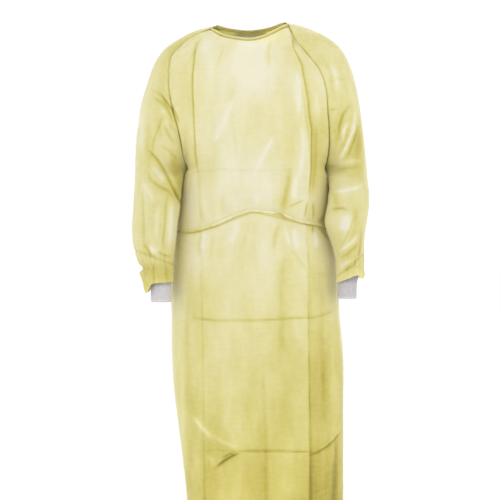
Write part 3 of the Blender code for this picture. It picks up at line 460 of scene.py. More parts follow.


# Folds: how far they stand out (troughs are negative) and their half width in mm, a lip on the
# left or right of their run, how much painted shade they lay on the yellow (negative for a painted
# highlight), and their run in mm as seen flat.
FRONT_FOLDS = (
    ("left folding crease", -1.6, 2.0, 0.5, 0.6,
     ((-124.8, -28.8), (-130.8, -57.6), (-138.2, -124.8), (-135.8, -206.4), (-132, -297.6),
      (-127.2, -364.8))),
    ("left folding crease, lower", -1, 3.2, 0.4, 0.14,
     ((-127.2, -302.4), (-122.4, -422.4), (-117.6, -566.4), (-112.8, -782.4), (-108, -1270))),
    ("right folding crease", -2.0, 2.6, -0.7, 0.46,
     ((98.4, -4.8), (105.6, -57.6), (124.1, -94.6), (129.1, -125.8), (134.4, -151.2), (139.7, -182.4),
      (142.1, -213.6), (148.8, -254.4), (147.8, -345.6), (140.6, -422.4))),
    ("right folding crease, below the tie", -1.0, 1.8, -0.5, 0.20,
     ((127.2, -475.2), (133.2, -501.6), (139.2, -549.6), (140.2, -662.4), (140.6, -758.4),
      (142.3, -902.4), (145.4, -1024.8), (144, -1270))),
    ("crease across the chest", -0.8, 2.2, 0.4, 0.12,
     ((-153.6, -355.2), (-67.2, -349.2), (28.8, -350.4), (124.8, -348))),
    ("crease across the thighs", -1.2, 2.4, -0.5, 0.34,
     ((-150, -703), (-91.2, -711.4), (14.4, -711.8), (160, -703.4))),
    ("crease across the thighs, side", -0.9, 2.2, -0.4, 0.26,
     ((128, -709), (168, -702), (199.2, -688.8), (214, -681))),
    ("crease across the knees", -1.4, 2.4, -0.7, 0.36,
     ((-44, -1024), (0, -1025.8), (72, -1025.3), (162, -1027.6))),
    ("crease across the knees, side", -1.5, 2.6, 0.7, 0.34,
     ((128, -1040), (145.4, -1034.4), (165.6, -1026.2), (184.8, -1013.8), (201.6, -998.4),
      (220.8, -975.6), (230, -962))),
    ("faint crease across the knees", -0.6, 2.2, -0.4, 0.12,
     ((-120, -1024.8), (-67.2, -1023.4), (-19.2, -1025.3))),
    ("middle crease of the skirt", -1, 5, 0.4, 0.12,
     ((28.8, -818.4), (36, -950.4), (38.4, -1046.4), (40.8, -1270))),
    ("knee pinch, upper roll", 2.4, 5, 0, -0.4, ((-141.6, -933.6), (-115.2, -967.2), (-85.2, -1002))),
    ("knee pinch, middle roll", 1.8, 5, 0, -0.22, ((-103.2, -976.8), (-62.4, -1004.4), (-9.6, -1024.8))),
    ("knee pinch, lower trough", -2.2, 3, 0.6, 0.6,
     ((-90.2, -1070.9), (-64.8, -1050), (-40.8, -1035.6), (-14.4, -1026.2))),
    ("knee pinch, upper trough", -1.4, 2.4, 0.5, 0.4, ((-69.6, -1044), (-50.4, -1032), (-28.8, -1024.8))),
    ("knee pinch, flat between", 1.2, 6, 0, -0.2, ((-108, -1034.4), (-88.8, -1048.8), (-93.6, -1065.6))),
    ("long streak on the chest", 2.0, 4, 0, -0.5, ((-88.8, -292.8), (-64.8, -235.2), (-33.6, -168))),
    ("short streak on the chest", 1.8, 3.6, 0, -0.5, ((6, -366), (33.6, -312), (62, -260))),
    ("roll beside the right crease", 2.2, 4.5, 0, -0.42, ((114, -100.8), (116.2, -158.4), (117.6, -225.6))),
    ("roll below the chest", 1.8, 7, 0, -0.2, ((122.4, -225.6), (127.2, -302.4), (115.2, -388.8))),
    ("soft trough left of the middle", -1.4, 8, 0, 0.14, ((-33.6, -100.8), (-43.2, -206.4), (-33.6, -326.4))),
    ("trough down to the tie", -3, 8, 0, 0.34,
     ((98.4, -331.2), (91.2, -388.8), (80.6, -436.8), (74.4, -465.6))),
    ("roll above the tie", 2.6, 8, 0, -0.3, ((110.4, -355.2), (105.6, -398.4), (104.4, -432))),
    ("small line above the tie", -1, 2, 0.5, 0.42, ((87.6, -440.6), (110.4, -430.6), (138.2, -419.5))),
    ("pleat line above the tie", -1.7, 2, 0.6, 0.6, ((138.2, -419), (135.4, -441.6), (130.1, -472.8))),
    ("second pleat line above the tie", -1.7, 2, -0.6, 0.6,
     ((149.8, -421.4), (152.6, -444), (152.2, -475.2))),
    ("pleat line below the tie", -1.4, 2, 0.5, 0.5, ((152.6, -480), (150.2, -504))),
    ("trough below the tie", -2.6, 7, 0, 0.26, ((72, -468), (61.4, -508.8), (54.2, -552))),
    ("roll below the tie", 2.2, 5, 0, -0.4, ((103.2, -484.8), (109, -513.6), (116.2, -549.6))),
    ("thin roll below the tie", 1.6, 3.4, 0, -0.25, ((81.6, -482.4), (88.8, -508.8), (96, -540))),
    ("line from the hip", -0.9, 2.2, 0.4, 0.22,
     ((92.6, -532.8), (111.4, -557.3), (131.3, -581.3), (139.7, -603.6))),
    ("faint crease across the hip", -0.6, 2.4, 0.3, 0.14, ((144, -599), (177.6, -598.6), (211.2, -599.5))),
    # A shallow trough along the tie's lower edge; its deeper yellow is a painted shadow of the tie.
    ("line under the tie", -0.9, 1.7, 0, 0.42,
     ((-172.8, -505), (-139.2, -502), (-108, -494.5), (-84, -487), (-52.8, -473), (-24, -461.2), (0, -454),
      (19.2, -453.5), (43.2, -459), (96, -471), (120, -479), (144, -483), (163.2, -486), (175.2, -489.6))),
    ("side wedge, upper line", -1.8, 2.2, 0.5, 0.55,
     ((159.8, -481.2), (170.4, -493.2), (179.5, -504), (190.1, -522))),
    ("side wedge, roll", 1.8, 5, 0, -0.3, ((152.4, -492), (158.4, -513.6), (160.8, -542.4))),
    ("pull at the right waist", -1.6, 4, 0, 0.3, ((181.2, -456), (172.8, -468), (160.8, -477.6))),
    ("left waist, fold below the tie", -1.8, 5, 0.6, 0.22,
     ((-120, -501.6), (-124.8, -528), (-123.4, -561.6))),
    ("left waist, roll below the tie", 1.8, 5, 0, -0.32,
     ((-109.2, -494.4), (-112.8, -518.4), (-117.6, -547.2))),
    ("left waist, second fold", -1.2, 5, 0, 0.14, ((-86.4, -494.4), (-91.2, -528), (-98.4, -571.2))),
    ("left waist, fold above the tie", -1.4, 4, 0, 0.18,
     ((-122.4, -434.4), (-115.2, -463.2), (-105.6, -487.2))),
    ("middle, roll below the tie", 1.6, 7, 0, -0.2, ((-28.8, -465.6), (-33.6, -499.2), (-48, -537.6))),
    ("middle, trough below the tie", -1.2, 7, 0, 0.1, ((0, -453.6), (-7.2, -499.2), (-24, -547.2))),
    ("middle, trough above the tie", -1.4, 6, 0, 0.14, ((-67.2, -403.2), (-67.2, -436.8), (-62.4, -468))),
    ("middle, roll above the tie", 1.4, 6, 0, -0.16, ((16.8, -398.4), (14.4, -427.2), (12, -446.4))),
    ("right of the middle, roll above the tie", 1.2, 5, 0, -0.12,
     ((48, -374.4), (48, -412.8), (50.4, -446.4))),
    ("left of the neckline", -1.2, 4, 0, 0.16, ((-57.6, -28.8), (-67.2, -67.2), (-86.4, -120))),
    ("right of the neckline", -1.4, 5, 0, 0.22, ((52.8, -24), (43.2, -67.2), (48, -120))),
    ("roll right of the neckline", 1.4, 5, 0, -0.26, ((28.8, -38.4), (19.2, -72), (0, -91.2))),
    ("left yoke fold", -1.2, 3, 0.5, 0.24, ((-112.8, -24), (-127.2, -52.8), (-144, -91.2))),
    ("left side fold above the armpit", -1.6, 3.4, 0.5, 0.4,
     ((-195.6, -182.4), (-181.2, -211.2), (-168, -244.8))),
    ("left side trough", -1.4, 6, 0, 0.16, ((-160.8, -230.4), (-153.6, -302.4), (-153.6, -398.4))),
    ("right side trough", -1.8, 6, 0, 0.3, ((158.4, -230.4), (158.4, -326.4), (150, -422.4))),
    ("right side roll", 1.2, 6, 0, -0.16, ((153.6, -144), (160.8, -192), (163.2, -235.2))),
    ("left skirt trough", -1.6, 9, 0, 0.12, ((-144, -571.2), (-151.2, -734.4), (-148.8, -950.4))),
    ("left skirt roll", 1.4, 9, 0, -0.1, ((-160.8, -662.4), (-163.2, -854.4), (-151.2, -1270))),
    ("right of the middle, skirt trough", -1.8, 10, 0, 0.16, ((84, -542.4), (74.4, -638.4), (79.2, -806.4))),
    ("right skirt trough", -1.8, 9, 0, 0.14, ((172.8, -571.2), (172.8, -734.4), (182.4, -974.4))),
    ("right skirt roll", 1.4, 7, 0, -0.1, ((196.8, -662.4), (199.2, -854.4), (199.2, -1070.4))),
    ("bottom right trough", -1.8, 8, 0, 0.24, ((206.4, -974.4), (204, -1070.4), (201.6, -1270))),
)

# Painted highlights (negative, the strongest on the chest) and painted shade (positive) on the yellow:
# change, middle and half sizes in mm.
FRONT_PATCHES = (
    (-0.26, (0, -100), (62, 62)),
    (-0.10, (-20, -250), (110, 200)),
    (-0.10, (10, -600), (120, 160)),
    (0.05, (-150, -150), (50, 120)),
    (0.10, (96, -302), (34, 90)),
    (0.10, (75, -75), (40, 45)),
    (0.05, (70, -560), (50, 120)),
    (-0.16, (178, -540), (34, 130)),
    (0.14, (-150, -700), (40, 260)),
    (0.08, (200, -1000), (60, 260)),
    (0.16, (-150, -1120), (50, 160)),
    (0.08, (60, -1130), (120, 120)),
)

# Right of the right folding crease the yellow is deeper: painted shade where the side turns away from
# the light. The flanks are painted paler, because the scene's light alone leaves them darker than such a
# gown looks in light from all sides.
SIDE_CREASE = ((123, -160), (146, -350), (133, -480), (139, -580), (141, -1300))
SIDE_PAINTED_SHADE = 0.21
FLANK_PALER = 0.09

# At the underarm the front panel and the sleeve are each pushed out by up to this many mm, so that no
# thin slit shows between them. Side -1 is the right one.
UNDERARM_EASE = 1.3
UNDERARM_Z = {-1: -0.335, 1: -0.385}
UNDERARM_REACH = 0.05


def patches(flat, spots):
    tone = np.zeros(flat.shape[:-1])
    for change, middle, half in spots:
        tone += change * np.exp(-(((flat - np.array(middle)) / np.array(half)) ** 2).sum(axis=-1))
    return tone


points = finer(cloth_rows("front_panel"), PANEL_STEP)
normals = outward(points)
flat = seen_flat(points)
lift, tone = fold(flat, FRONT_FOLDS)
seam_lift, seam_tone, tuck = sew_edges(points, ("left", "right", "top"), 1)
lift += seam_lift + 0.5 * rumple(flat, (38, 90), 2) + 0.25 * rumple(flat, (13, 34), 3)
edge_share = np.abs(np.linspace(-1, 1, points.shape[1]))[None] ** 6
underarm_z = np.where(points[..., 0] < 0, UNDERARM_Z[-1], UNDERARM_Z[1])
lift += UNDERARM_EASE * edge_share * np.exp(-(((points[..., 2] - underarm_z) / UNDERARM_REACH) ** 2))
crease_x = np.interp(-flat[..., 1], [-z for _, z in SIDE_CREASE], [x for x, _ in SIDE_CREASE])
past = smooth((flat[..., 0] - crease_x) / 2) * smooth((-flat[..., 1] - 120) / 120)
tone += seam_tone + patches(flat, FRONT_PATCHES) + SIDE_PAINTED_SHADE * past
# Painted shade: the yellow deepens from below the chest towards the hem.
tone += 0.22 + 0.41 * smooth((-flat[..., 1] - 350) / 950)
tone -= FLANK_PALER * smooth(1.6 * np.abs(normals[..., 0]) - 0.3) * smooth((-flat[..., 1] - 330) / 120)
front_panel = lay_cloth(
    "front_panel_cloth", points + tuck + normals * lift[..., None] / 1000, tone, "front_panel"
)


# Back panels: two pieces of the same cloth, sewn to the front at the sides. The one on the
# wearer's left laps over the other past the middle of the back, and both edges are left raw.
BACK_CREASES = (-90.0, 92.0)
BACK_CROSS_CREASES = (-355.0, -712.0, -1028.0)
WAIST_Z = -496.0
GATHERS = 15
rng = np.random.default_rng(11)
BACK_FOLDS = [
    (f"folding crease {k}", -1.5, 2.8, (-0.5, 0.5)[k], 0.32, ((x, -30), (x * 1.02, -700), (x * 1.04, -1400)))
    for k, x in enumerate(BACK_CREASES)
] + [
    (f"cross crease {k}", -1.1, 2.4, 0.5, 0.24, ((-240, z + 3), (0, z), (240, z - 4)))
    for k, z in enumerate(BACK_CROSS_CREASES)
]
for k in range(GATHERS):
    x = -178 + 356 * (k + 0.5) / GATHERS + rng.uniform(-7, 7)
    rise, fall = rng.uniform(50, 150), rng.uniform(80, 230)
    depth, half = rng.uniform(1.2, 3.0), rng.uniform(5, 9)
    BACK_FOLDS += [
        (f"gather above {k}", -depth, half, 0.3, 0.20, ((x * 0.98, WAIST_Z + rise), (x, WAIST_Z - 8))),
        (f"gather below {k}", -depth, half, -0.3, 0.20, ((x + 8, WAIST_Z + 8), (x * 1.05, WAIST_Z - fall))),
        (f"roll below {k}", depth * 0.8, half, 0.0, -0.16,
         ((x + 15, WAIST_Z), (x * 1.06 + 12, WAIST_Z - fall))),
    ]
SHOULDER_PULLS = (
    (-120, -120, -60), (120, -118, 60), (-150, -230, 70), (148, -236, -64), (-60, -150, 20), (66, -160, -24)
)
for x, z, run in SHOULDER_PULLS:
    path = ((x, z), (x - run * 0.4, z - 60), (x - run, z - 110))
    BACK_FOLDS.append(("pull to the shoulder", -1.8, 5.0, 0.4, 0.20, path))

for name in ("right", "left"):
    points = finer(cloth_rows("back_panel_" + name), PANEL_STEP)
    normals = outward(points)
    flat = points[..., [0, 2]] * 1000
    lift, tone = fold(flat, BACK_FOLDS)
    seam_lift, seam_tone, tuck = sew_edges(points, (name, "top"), 2)
    lift += seam_lift + 0.5 * rumple(flat, (38, 90), 5) + 0.25 * rumple(flat, (13, 34), 6)
    # Painted shade, as on the front: the yellow deepens towards the hem.
    tone += seam_tone + 0.36 + 0.24 * smooth((-flat[..., 1] - 350) / 900)
    laid = points + tuck + normals * lift[..., None] / 1000
    back_panel = lay_cloth(f"back_panel_{name}_cloth", laid, tone, "back_panel_" + name)


# Raglan sleeves: one piece each, sewn to the panels from the underarm to the neck and closed with
# a seam under the arm. Their hems are gathered, and a short frill hangs past the gathers.
SLEEVE_STEP = 0.0034
RIGHT_SLEEVE_FOLDS = (
    ("deep fold beside the body", -3.4, 3.4, 0.6, 0.75,
     ((-256, -292), (-240, -306), (-220, -328), (-200, -360), (-182, -396), (-166, -428), (-160, -460))),
    ("flat beside the body", -1.6, 11, 0, 0.34,
     ((-186, -300), (-182.4, -345.6), (-172.8, -384), (-165.6, -440))),
    ("second fold under it", -2, 3.4, 0.6, 0.5,
     ((-250, -345), (-240, -372), (-220, -388), (-196, -400), (-178, -424))),
    ("roll between the two", 2, 6, 0, -0.3, ((-240, -335), (-220, -358), (-200, -384))),
    ("pale flat of the forearm", 1.4, 9, 0, -0.34, ((-188, -410), (-190, -450), (-192, -500), (-196, -545))),
    ("line from the fan", -1.2, 2, 0.5, 0.4, ((-200, -205), (-216, -240), (-232, -282), (-236, -330))),
    ("crease down the forearm", -1.8, 2.6, -0.6, 0.5,
     ((-198.5, -398.4), (-201.6, -439.2), (-204.5, -480), (-208.3, -518.4), (-208.8, -556.8))),
    ("roll down the forearm", 1.6, 6, 0, -0.22, ((-220.8, -422.4), (-224.2, -475.2), (-225.6, -528))),
    ("outer crease of the forearm", -1.4, 2.8, 0.5, 0.36,
     ((-258, -385), (-257.8, -436.8), (-255.4, -475.2), (-253, -545))),
    ("crease above the elbow", -1.4, 2.4, 0.5, 0.4, ((-237.6, -172.8), (-220.8, -183.8), (-201.6, -195.4))),
    ("fan, first", -2, 3, 0.6, 0.6, ((-223.2, -153.6), (-204, -182.4), (-189.6, -201.6), (-176.6, -228))),
    ("fan, second", -1.6, 2.6, 0.5, 0.45,
     ((-214.6, -172.8), (-199.2, -201.6), (-188.2, -225.6), (-177.6, -247.2))),
    ("fan, third", -1.4, 3, 0, 0.35, ((-208.8, -206.4), (-196.8, -230.4), (-182.4, -261.6))),
    ("fan, roll", 1.8, 4, 0, -0.25, ((-216, -192), (-201.6, -220.8), (-189.6, -254.4))),
    ("fold towards the armpit", -1.8, 4, 0.5, 0.4, ((-211.2, -235.2), (-196.8, -264), (-177.6, -292.8))),
    ("soft fold of the upper arm", -1.8, 6, 0, 0.24, ((-213.6, -211.2), (-218.4, -240), (-208.8, -288))),
    ("pull to the armpit", -1.6, 4, 0.4, 0.3, ((-216, -283.2), (-192, -307.2), (-163.2, -331.2))),
    ("trough of the upper arm", -1.8, 9, 0, 0.2, ((-240, -211.2), (-247.2, -278.4), (-240, -355.2))),
    ("roll of the upper arm", 1.6, 8, 0, -0.24, ((-254.4, -192), (-259.2, -254.4), (-259.2, -326.4))),
    ("elbow roll", 1.8, 6, 0, -0.22, ((-264, -374.8), (-240, -404), (-222, -442.8))),
    ("crease across the elbow", -1, 2.4, 0.4, 0.24, ((-247.2, -148.8), (-208.8, -175.2), (-184.8, -206.4))),
    ("pull above the gathers, outer", -2.4, 3.4, 0.6, 0.5,
     ((-262, -520), (-248, -538), (-236, -556), (-222, -566))),
    ("pull above the gathers, inner", -2, 3.2, 0.6, 0.5,
     ((-226, -536), (-212, -552), (-196, -558), (-182, -556))),
    ("roll above the gathers", 2.2, 5, 0, -0.34, ((-244, -530), (-230, -545), (-212, -540))),
    ("fold down the hem", -1.2, 2.6, 0.4, 0.34, ((-230, -560), (-231, -590), (-229, -640))),
    ("trough of the hem", -1.0, 6, 0, 0.22, ((-206, -562), (-200, -590), (-196, -640))),
    ("shoulder fold", -1, 4, 0.4, 0.2, ((-156, -43.2), (-177.6, -81.6), (-192, -124.8))),
)
LEFT_SLEEVE_FOLDS = (
    ("valley of the upper arm", -3.2, 4.5, 0.5, 0.6,
     ((243.6, -187.2), (232.8, -204), (221.8, -220.8), (215, -247.2), (212.2, -290.4))),
    ("lobe beside the valley", 2.2, 5, 0, -0.34, ((252, -201.6), (248.6, -235.2), (242.4, -271.2))),
    ("inner lobe", 1.8, 4, 0, -0.28, ((218.4, -240), (225.6, -264), (222.2, -290.4))),
    ("bright roll", 2.6, 3.6, 0, -0.55, ((256, -226), (244, -262), (230, -296), (212, -334))),
    ("crease under the bright roll", -1.8, 2.6, 0.5, 0.42,
     ((263, -236), (252, -274), (238, -308), (222, -342))),
    ("crease over the bright roll", -1.4, 3, 0, 0.3, ((244, -236), (232, -268), (218, -300), (206, -322))),
    ("short bright roll", 2, 3.4, 0, -0.4, ((236, -232), (226, -252), (214, -276))),
    ("line from the seam", -1.2, 2.2, 0.5, 0.4, ((189.1, -209.8), (196.8, -206.4), (206.4, -200.6))),
    ("fold below the line", -1.6, 4, 0, 0.24, ((194.4, -240), (206.4, -268.8), (206.4, -307.2))),
    ("band across the elbow", 1.2, 6, 0, -0.22, ((198, -338), (235, -330), (276, -326))),
    ("crease across the elbow", -1.2, 3, 0.4, 0.24, ((196, -352), (235, -346), (280, -340))),
    ("roll across the forearm", 2, 5, 0, -0.34, ((190, -404), (222, -402), (252, -394), (282, -380))),
    ("trough of the upper arm", -1.8, 8, 0, 0.24, ((259.2, -211.2), (261.6, -278.4), (254.4, -345.6))),
    ("roll of the shoulder", 1.6, 8, 0, -0.26, ((189.6, -86.4), (206.4, -129.6), (211.2, -177.6))),
    ("crease at the shoulder", -1, 2.6, 0.4, 0.22, ((192, -135.8), (211.2, -131), (230.4, -133))),
    ("trough of the shoulder", -1.4, 6, 0, 0.22, ((163.2, -62.4), (192, -110.4), (201.6, -182.4))),
    ("trough of the elbow", -1.8, 6, 0, 0.26, ((194.4, -388.8), (206.4, -427.2), (201.6, -460.8))),
    ("line at the elbow", -2, 3, 0.6, 0.5, ((186, -450), (204, -443), (222, -442), (240, -448))),
    ("pale facet of the forearm", 2, 15, 0, -0.36, ((240, -448), (230, -472), (226, -506))),
    ("forearm trough", -1.8, 7, 0, 0.24, ((254.4, -422.4), (252, -480), (242.4, -532.8))),
    ("forearm roll", 1.6, 7, 0, -0.22, ((232.8, -456), (230.4, -499.2), (223.2, -542.4))),
    ("side of the pale facet", -1.8, 2.8, 0.5, 0.4, ((258, -455), (246, -474), (236, -500), (214, -548))),
    ("roll above the wrist", 2.4, 4.4, 0, -0.42, ((206, -552), (226, -538), (246, -522), (264, -500))),
    ("pull above the wrist", -2, 3, 0.5, 0.45, ((208, -566), (232, -553), (252, -536), (266, -516))),
    ("outer crease above the wrist", -1.8, 2.6, 0.5, 0.45,
     ((268, -480), (267, -520), (262, -552), (250, -575))),
    ("pull at the wrist", -1.2, 3, 0.5, 0.5, ((214, -603), (232, -590), (248, -580), (262, -560))),
    ("roll at the wrist", 2.2, 4, 0, -0.36, ((212, -588), (230, -574), (246, -564))),
)
# Painted highlights (negative) and painted shade (positive) on the sleeves: change, middle and half sizes in
# mm.
SLEEVE_PATCHES = {
    "right": ((-0.06, (-230, -170), (40, 90)), (0.12, (-165, -400), (30, 60)),
              (-0.06, (-230, -480), (40, 60)), (0.24, (-215, -600), (60, 34)), (0.30, (-150, -55), (60, 44))),
    "left": ((-0.06, (190, -130), (36, 60)), (0.12, (255, -330), (30, 60)), (-0.06, (240, -460), (24, 30)),
             (0.02, (115, -40), (34, 40)), (0.12, (240, -280), (40, 70))),
}
GATHER_LINE = {"right": ((-258, -550), (-190, -575)), "left": ((218, -598), (266, -559))}
GATHER_COUNT = 44
GATHER_Z = {"right": -0.586, "left": -0.583}


def gathers(points, flat, line, seed):
    """Small pleats drawn up along a line round the sleeve's end, fading above and below it."""
    (x0, z0), (x1, z1) = line
    level = z0 + (np.clip(flat[..., 0], x0 - 15, x1 + 15) - x0) * (z1 - z0) / (x1 - x0)
    above = flat[..., 1] - level
    turn = np.linspace(0, 1, points.shape[1])[None] * np.ones_like(above)
    phase = turn * GATHER_COUNT * math.pi + 1.1 * rumple(np.stack([turn * 9, above * 0], -1), (1, 1), seed)
    strength = 0.55 + 0.45 * rumple(np.stack([turn * 15, above * 0], -1), (1, 1), seed + 1)
    reach = 16 + 14 * rumple(np.stack([turn * 22, above * 0], -1), (1, 1), seed + 2)
    fade = np.where(above > 0, np.exp(-np.maximum(above, 0) / reach), np.exp(np.minimum(above, 0) / 12))
    pinch = np.exp(-((above / 3.0) ** 2))
    lift = 1.1 * strength * fade * np.sin(phase) - 1.8 * pinch
    # Painted highlights on the pleats' crests, painted shade in their hollows and along the drawn-up line.
    tone = -0.16 * strength * fade * np.sin(phase) + 0.22 * pinch
    return lift, tone


# Where a sleeve's hem hangs, in mm: its level, its slope towards the outside, and how much lower the
# loose lobe at its outer corner reaches. The rear of the hem hangs up to REAR_LIFT higher.
HEM_HANG = {"right": (-619.5, 6.0, -22.0), "left": (-607.0, 10.5, -15.0)}
LOBE_AT = 0.8
LOBE_HALF = 0.24
REAR_LIFT = 4.0
FRILL_WAVE = 3.0


def drop_hem(points, name):
    """Lets the end of a sleeve hang unevenly, and its frill stand out in a few loose waves."""
    side = -1 if name == "right" else 1
    end = points[0]
    middle = (end.min(axis=0) + end.max(axis=0)) / 2
    half = (end.max(axis=0) - end.min(axis=0)) / 2
    out = side * (points[..., 0] - middle[0]) / half[0]
    ahead = (middle[1] - points[..., 1]) / half[1]
    level, slope, lobe = HEM_HANG[name]
    drop = level - end[:, 2].mean() * 1000 + slope * out
    drop += lobe * np.exp(-(((out - LOBE_AT) / LOBE_HALF) ** 2)) - REAR_LIFT * np.minimum(ahead, 0)
    gathered = GATHER_Z[name]
    share = smooth((gathered - points[..., 2]) / (gathered - end[:, 2].mean()))
    turn = np.arctan2(ahead, out) / math.pi
    wave = rumple(np.stack([3.5 * np.abs(turn) + 5 * (turn < 0), 0 * turn], -1), (1, 1), 61) * FRILL_WAVE
    push = unit(np.stack([side * out, -ahead, 0 * out], axis=-1))
    moved = points + push * (wave * share)[..., None] / 1000
    moved[..., 2] += drop * share / 1000
    return moved


# In front the tables' folds stand out, and lay their painted shade, by these shares of what they
# say; their painted highlights stay whole. The rear of a sleeve takes the other sleeve's folds in
# full, mirrored.
FRONT_HEIGHT = 0.9
FRONT_SHADE_SHARE = 0.7
for name, folds, others in (
    ("right", RIGHT_SLEEVE_FOLDS, LEFT_SLEEVE_FOLDS),
    ("left", LEFT_SLEEVE_FOLDS, RIGHT_SLEEVE_FOLDS),
):
    points = drop_hem(finer(cloth_rows("sleeve_" + name, tube=True), SLEEVE_STEP), name)
    normals = outward(points)
    flat = seen_flat(points)
    front = [
        (n, h * FRONT_HEIGHT, w, lip, d * (FRONT_SHADE_SHARE if d > 0 else 1), path)
        for n, h, w, lip, d, path in folds
    ]
    lift, tone = fold(flat, front)
    behind = [(n, h, w, -lip, d, [(-x, z - 14) for x, z in path]) for n, h, w, lip, d, path in others]
    back_lift, back_tone = fold(flat, behind)
    ahead = smooth(0.5 - 1.6 * normals[..., 1])
    lift = lift * ahead + back_lift * (1 - ahead)
    tone = tone * ahead + back_tone * (1 - ahead)
    seam_lift, seam_tone, tuck = sew_edges(points, ("left", "right", "top"), 3)
    gather_lift, gather_tone = gathers(points, flat, GATHER_LINE[name], 21)
    round_about = np.stack([np.arctan2(normals[..., 0], -normals[..., 1]) * 60, flat[..., 1]], -1)
    uneven = 0.6 * rumple(round_about, (26, 44), 8)
    lift += seam_lift + gather_lift + uneven + 0.25 * rumple(round_about, (9, 20), 9)
    side = -1 if name == "right" else 1
    inward = smooth(-1.4 * side * normals[..., 0] - 0.2)
    lift += UNDERARM_EASE * inward * np.exp(-(((points[..., 2] - UNDERARM_Z[side]) / UNDERARM_REACH) ** 2))
    tone += seam_tone + gather_tone + patches(flat, SLEEVE_PATCHES[name]) + 0.38
    laid = points + tuck + normals * lift[..., None] / 1000
    sleeve = lay_cloth(f"sleeve_{name}_cloth", laid, tone, "sleeve_" + name)


# Cuffs: tubes of white rib knit, cotton and polyester, folded double at the wrist so that the lower
# edge is a fold. The sleeve's hem is gathered onto the top and hangs a little over it.
CUFF_RIBS = 46
RIB_COLUMNS = 6
CUFF_ROWS = 40
RIB_HEIGHT = 0.30
CUFF_EDGE = 2.2
# How deep each cuff's grey is; the left one's deeper grey is painted shade.
CUFF_TONE = {"right": 0.16, "left": 0.26}
KNIT_THICKNESS = 0.0012


def rings_of(node):
    """The outer rings of a CAD cuff, lowest first: height, middle and half size across and in depth."""
    levels = {}
    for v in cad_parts[node].data.vertices:
        levels.setdefault(round(v.co.z, 4), []).append(v.co)
    rings = []
    for z in sorted(levels):
        low = [min(c[k] for c in levels[z]) for k in (0, 1)]
        high = [max(c[k] for c in levels[z]) for k in (0, 1)]
        middles = [(a + b) / 2 for a, b in zip(low, high)]
        rings.append((z, *middles, *((b - a) / 2 for a, b in zip(low, high))))
    return np.array(rings)


# Cotton-polyester rib knit: soft yarn knitted into upright ribs. It gives the eye a matt, slightly
# warm grey-white; the fine dark valleys between the ribs are painted shade. The stitches are 0.9 mm
# high, so they are drawn at 1.6 mm.
STITCH_HEIGHT = 1.6
rib_knit, shader = new_finish(
    "white_cotton_polyester_rib_knit",
    {"Roughness": 0.9, "IOR": 1.5, "Specular IOR Level": 0.2, "Sheen Weight": 0.25, "Sheen Roughness": 0.6},
)
place = add_node(rib_knit, "ShaderNodeTexCoord").outputs["Object"]
yarn = add_node(rib_knit, "ShaderNodeTexNoise", {"Scale": 260.0, "Detail": 3.0}, {"Vector": place})
valley = add_node(rib_knit, "ShaderNodeAttribute", {"attribute_name": "tone"}).outputs["Fac"]
shade = add_node(
    rib_knit, "ShaderNodeMath", {"operation": "MULTIPLY_ADD", 1: 0.35}, {0: yarn.outputs["Fac"], 2: valley}
)
ramp = add_node(rib_knit, "ShaderNodeValToRGB", links={"Fac": shade.outputs["Value"]})
ramp.color_ramp.elements[0].position = 0.05
ramp.color_ramp.elements[0].color = linear("E2DEE0")
ramp.color_ramp.elements[1].position = 1.0
ramp.color_ramp.elements[1].color = linear("7F7A7E")
rib_knit.node_tree.links.new(ramp.outputs["Color"], shader.inputs["Base Color"])
stitches = add_node(
    rib_knit,
    "ShaderNodeTexWave",
    {"wave_type": "BANDS", "bands_direction": "Z", "Scale": 1000 / STITCH_HEIGHT / 20, "Distortion": 1.5},
    {"Vector": place},
)
bump = add_node(
    rib_knit, "ShaderNodeBump", {"Strength": 0.25, "Distance": 0.0004}, {"Height": stitches.outputs["Fac"]}
)
rib_knit.node_tree.links.new(bump.outputs["Normal"], shader.inputs["Normal"])

for name in ("right", "left"):
    rings = rings_of("cuff_" + name)
    places = np.linspace(0, len(rings) - 1, CUFF_ROWS)
    rings = spread(len(rings), places) @ rings
    columns = CUFF_RIBS * RIB_COLUMNS + 1
    turn = np.linspace(0, 2 * math.pi, columns)[None]
    z, x, y, half_x, half_y = (rings[:, k, None] for k in range(5))
    up = (z - rings[0, 0]) * 1000
    rib = np.abs(np.sin(turn * CUFF_RIBS / 2)) ** 0.8
    edge = np.exp(-(((up - CUFF_EDGE) / 1.4) ** 2))
    out = RIB_HEIGHT * (rib - 1) * (1 - 0.6 * edge) + 0.35 * edge - 0.8 * np.exp(-up / 0.6)
    wobble = 0.35 * rumple(np.stack([turn * 3 + 0 * up, up / 14 + 0 * turn], -1), (1, 1), 31)
    out = (out + wobble * smooth(up / 8)) / 1000
    points = np.stack(
        [x + (half_x + out) * np.cos(turn), y + (half_y + out) * np.sin(turn), z + 0 * turn], axis=-1
    )
    # Painted shade in the valleys between the ribs and at the top under the sleeve's hem, and a painted
    # highlight on the rounded lower edge.
    tone = 0.30 * (1 - rib) - 0.25 * edge + 0.22 * smooth((up - 34) / 10) + CUFF_TONE[name] + 0 * turn
    cuff = lay_cloth(f"cuff_{name}_knit", points, tone, "cuff_" + name, rib_knit, KNIT_THICKNESS)


# Neck binding: a narrow bias strip of the same cloth, folded over the raw neck edge and sewn through
# near its lower edge with one row of stitches. Its ends run on as the neck ties.
BINDING_STEP = 0.0009
STITCH_PITCH = 3.2

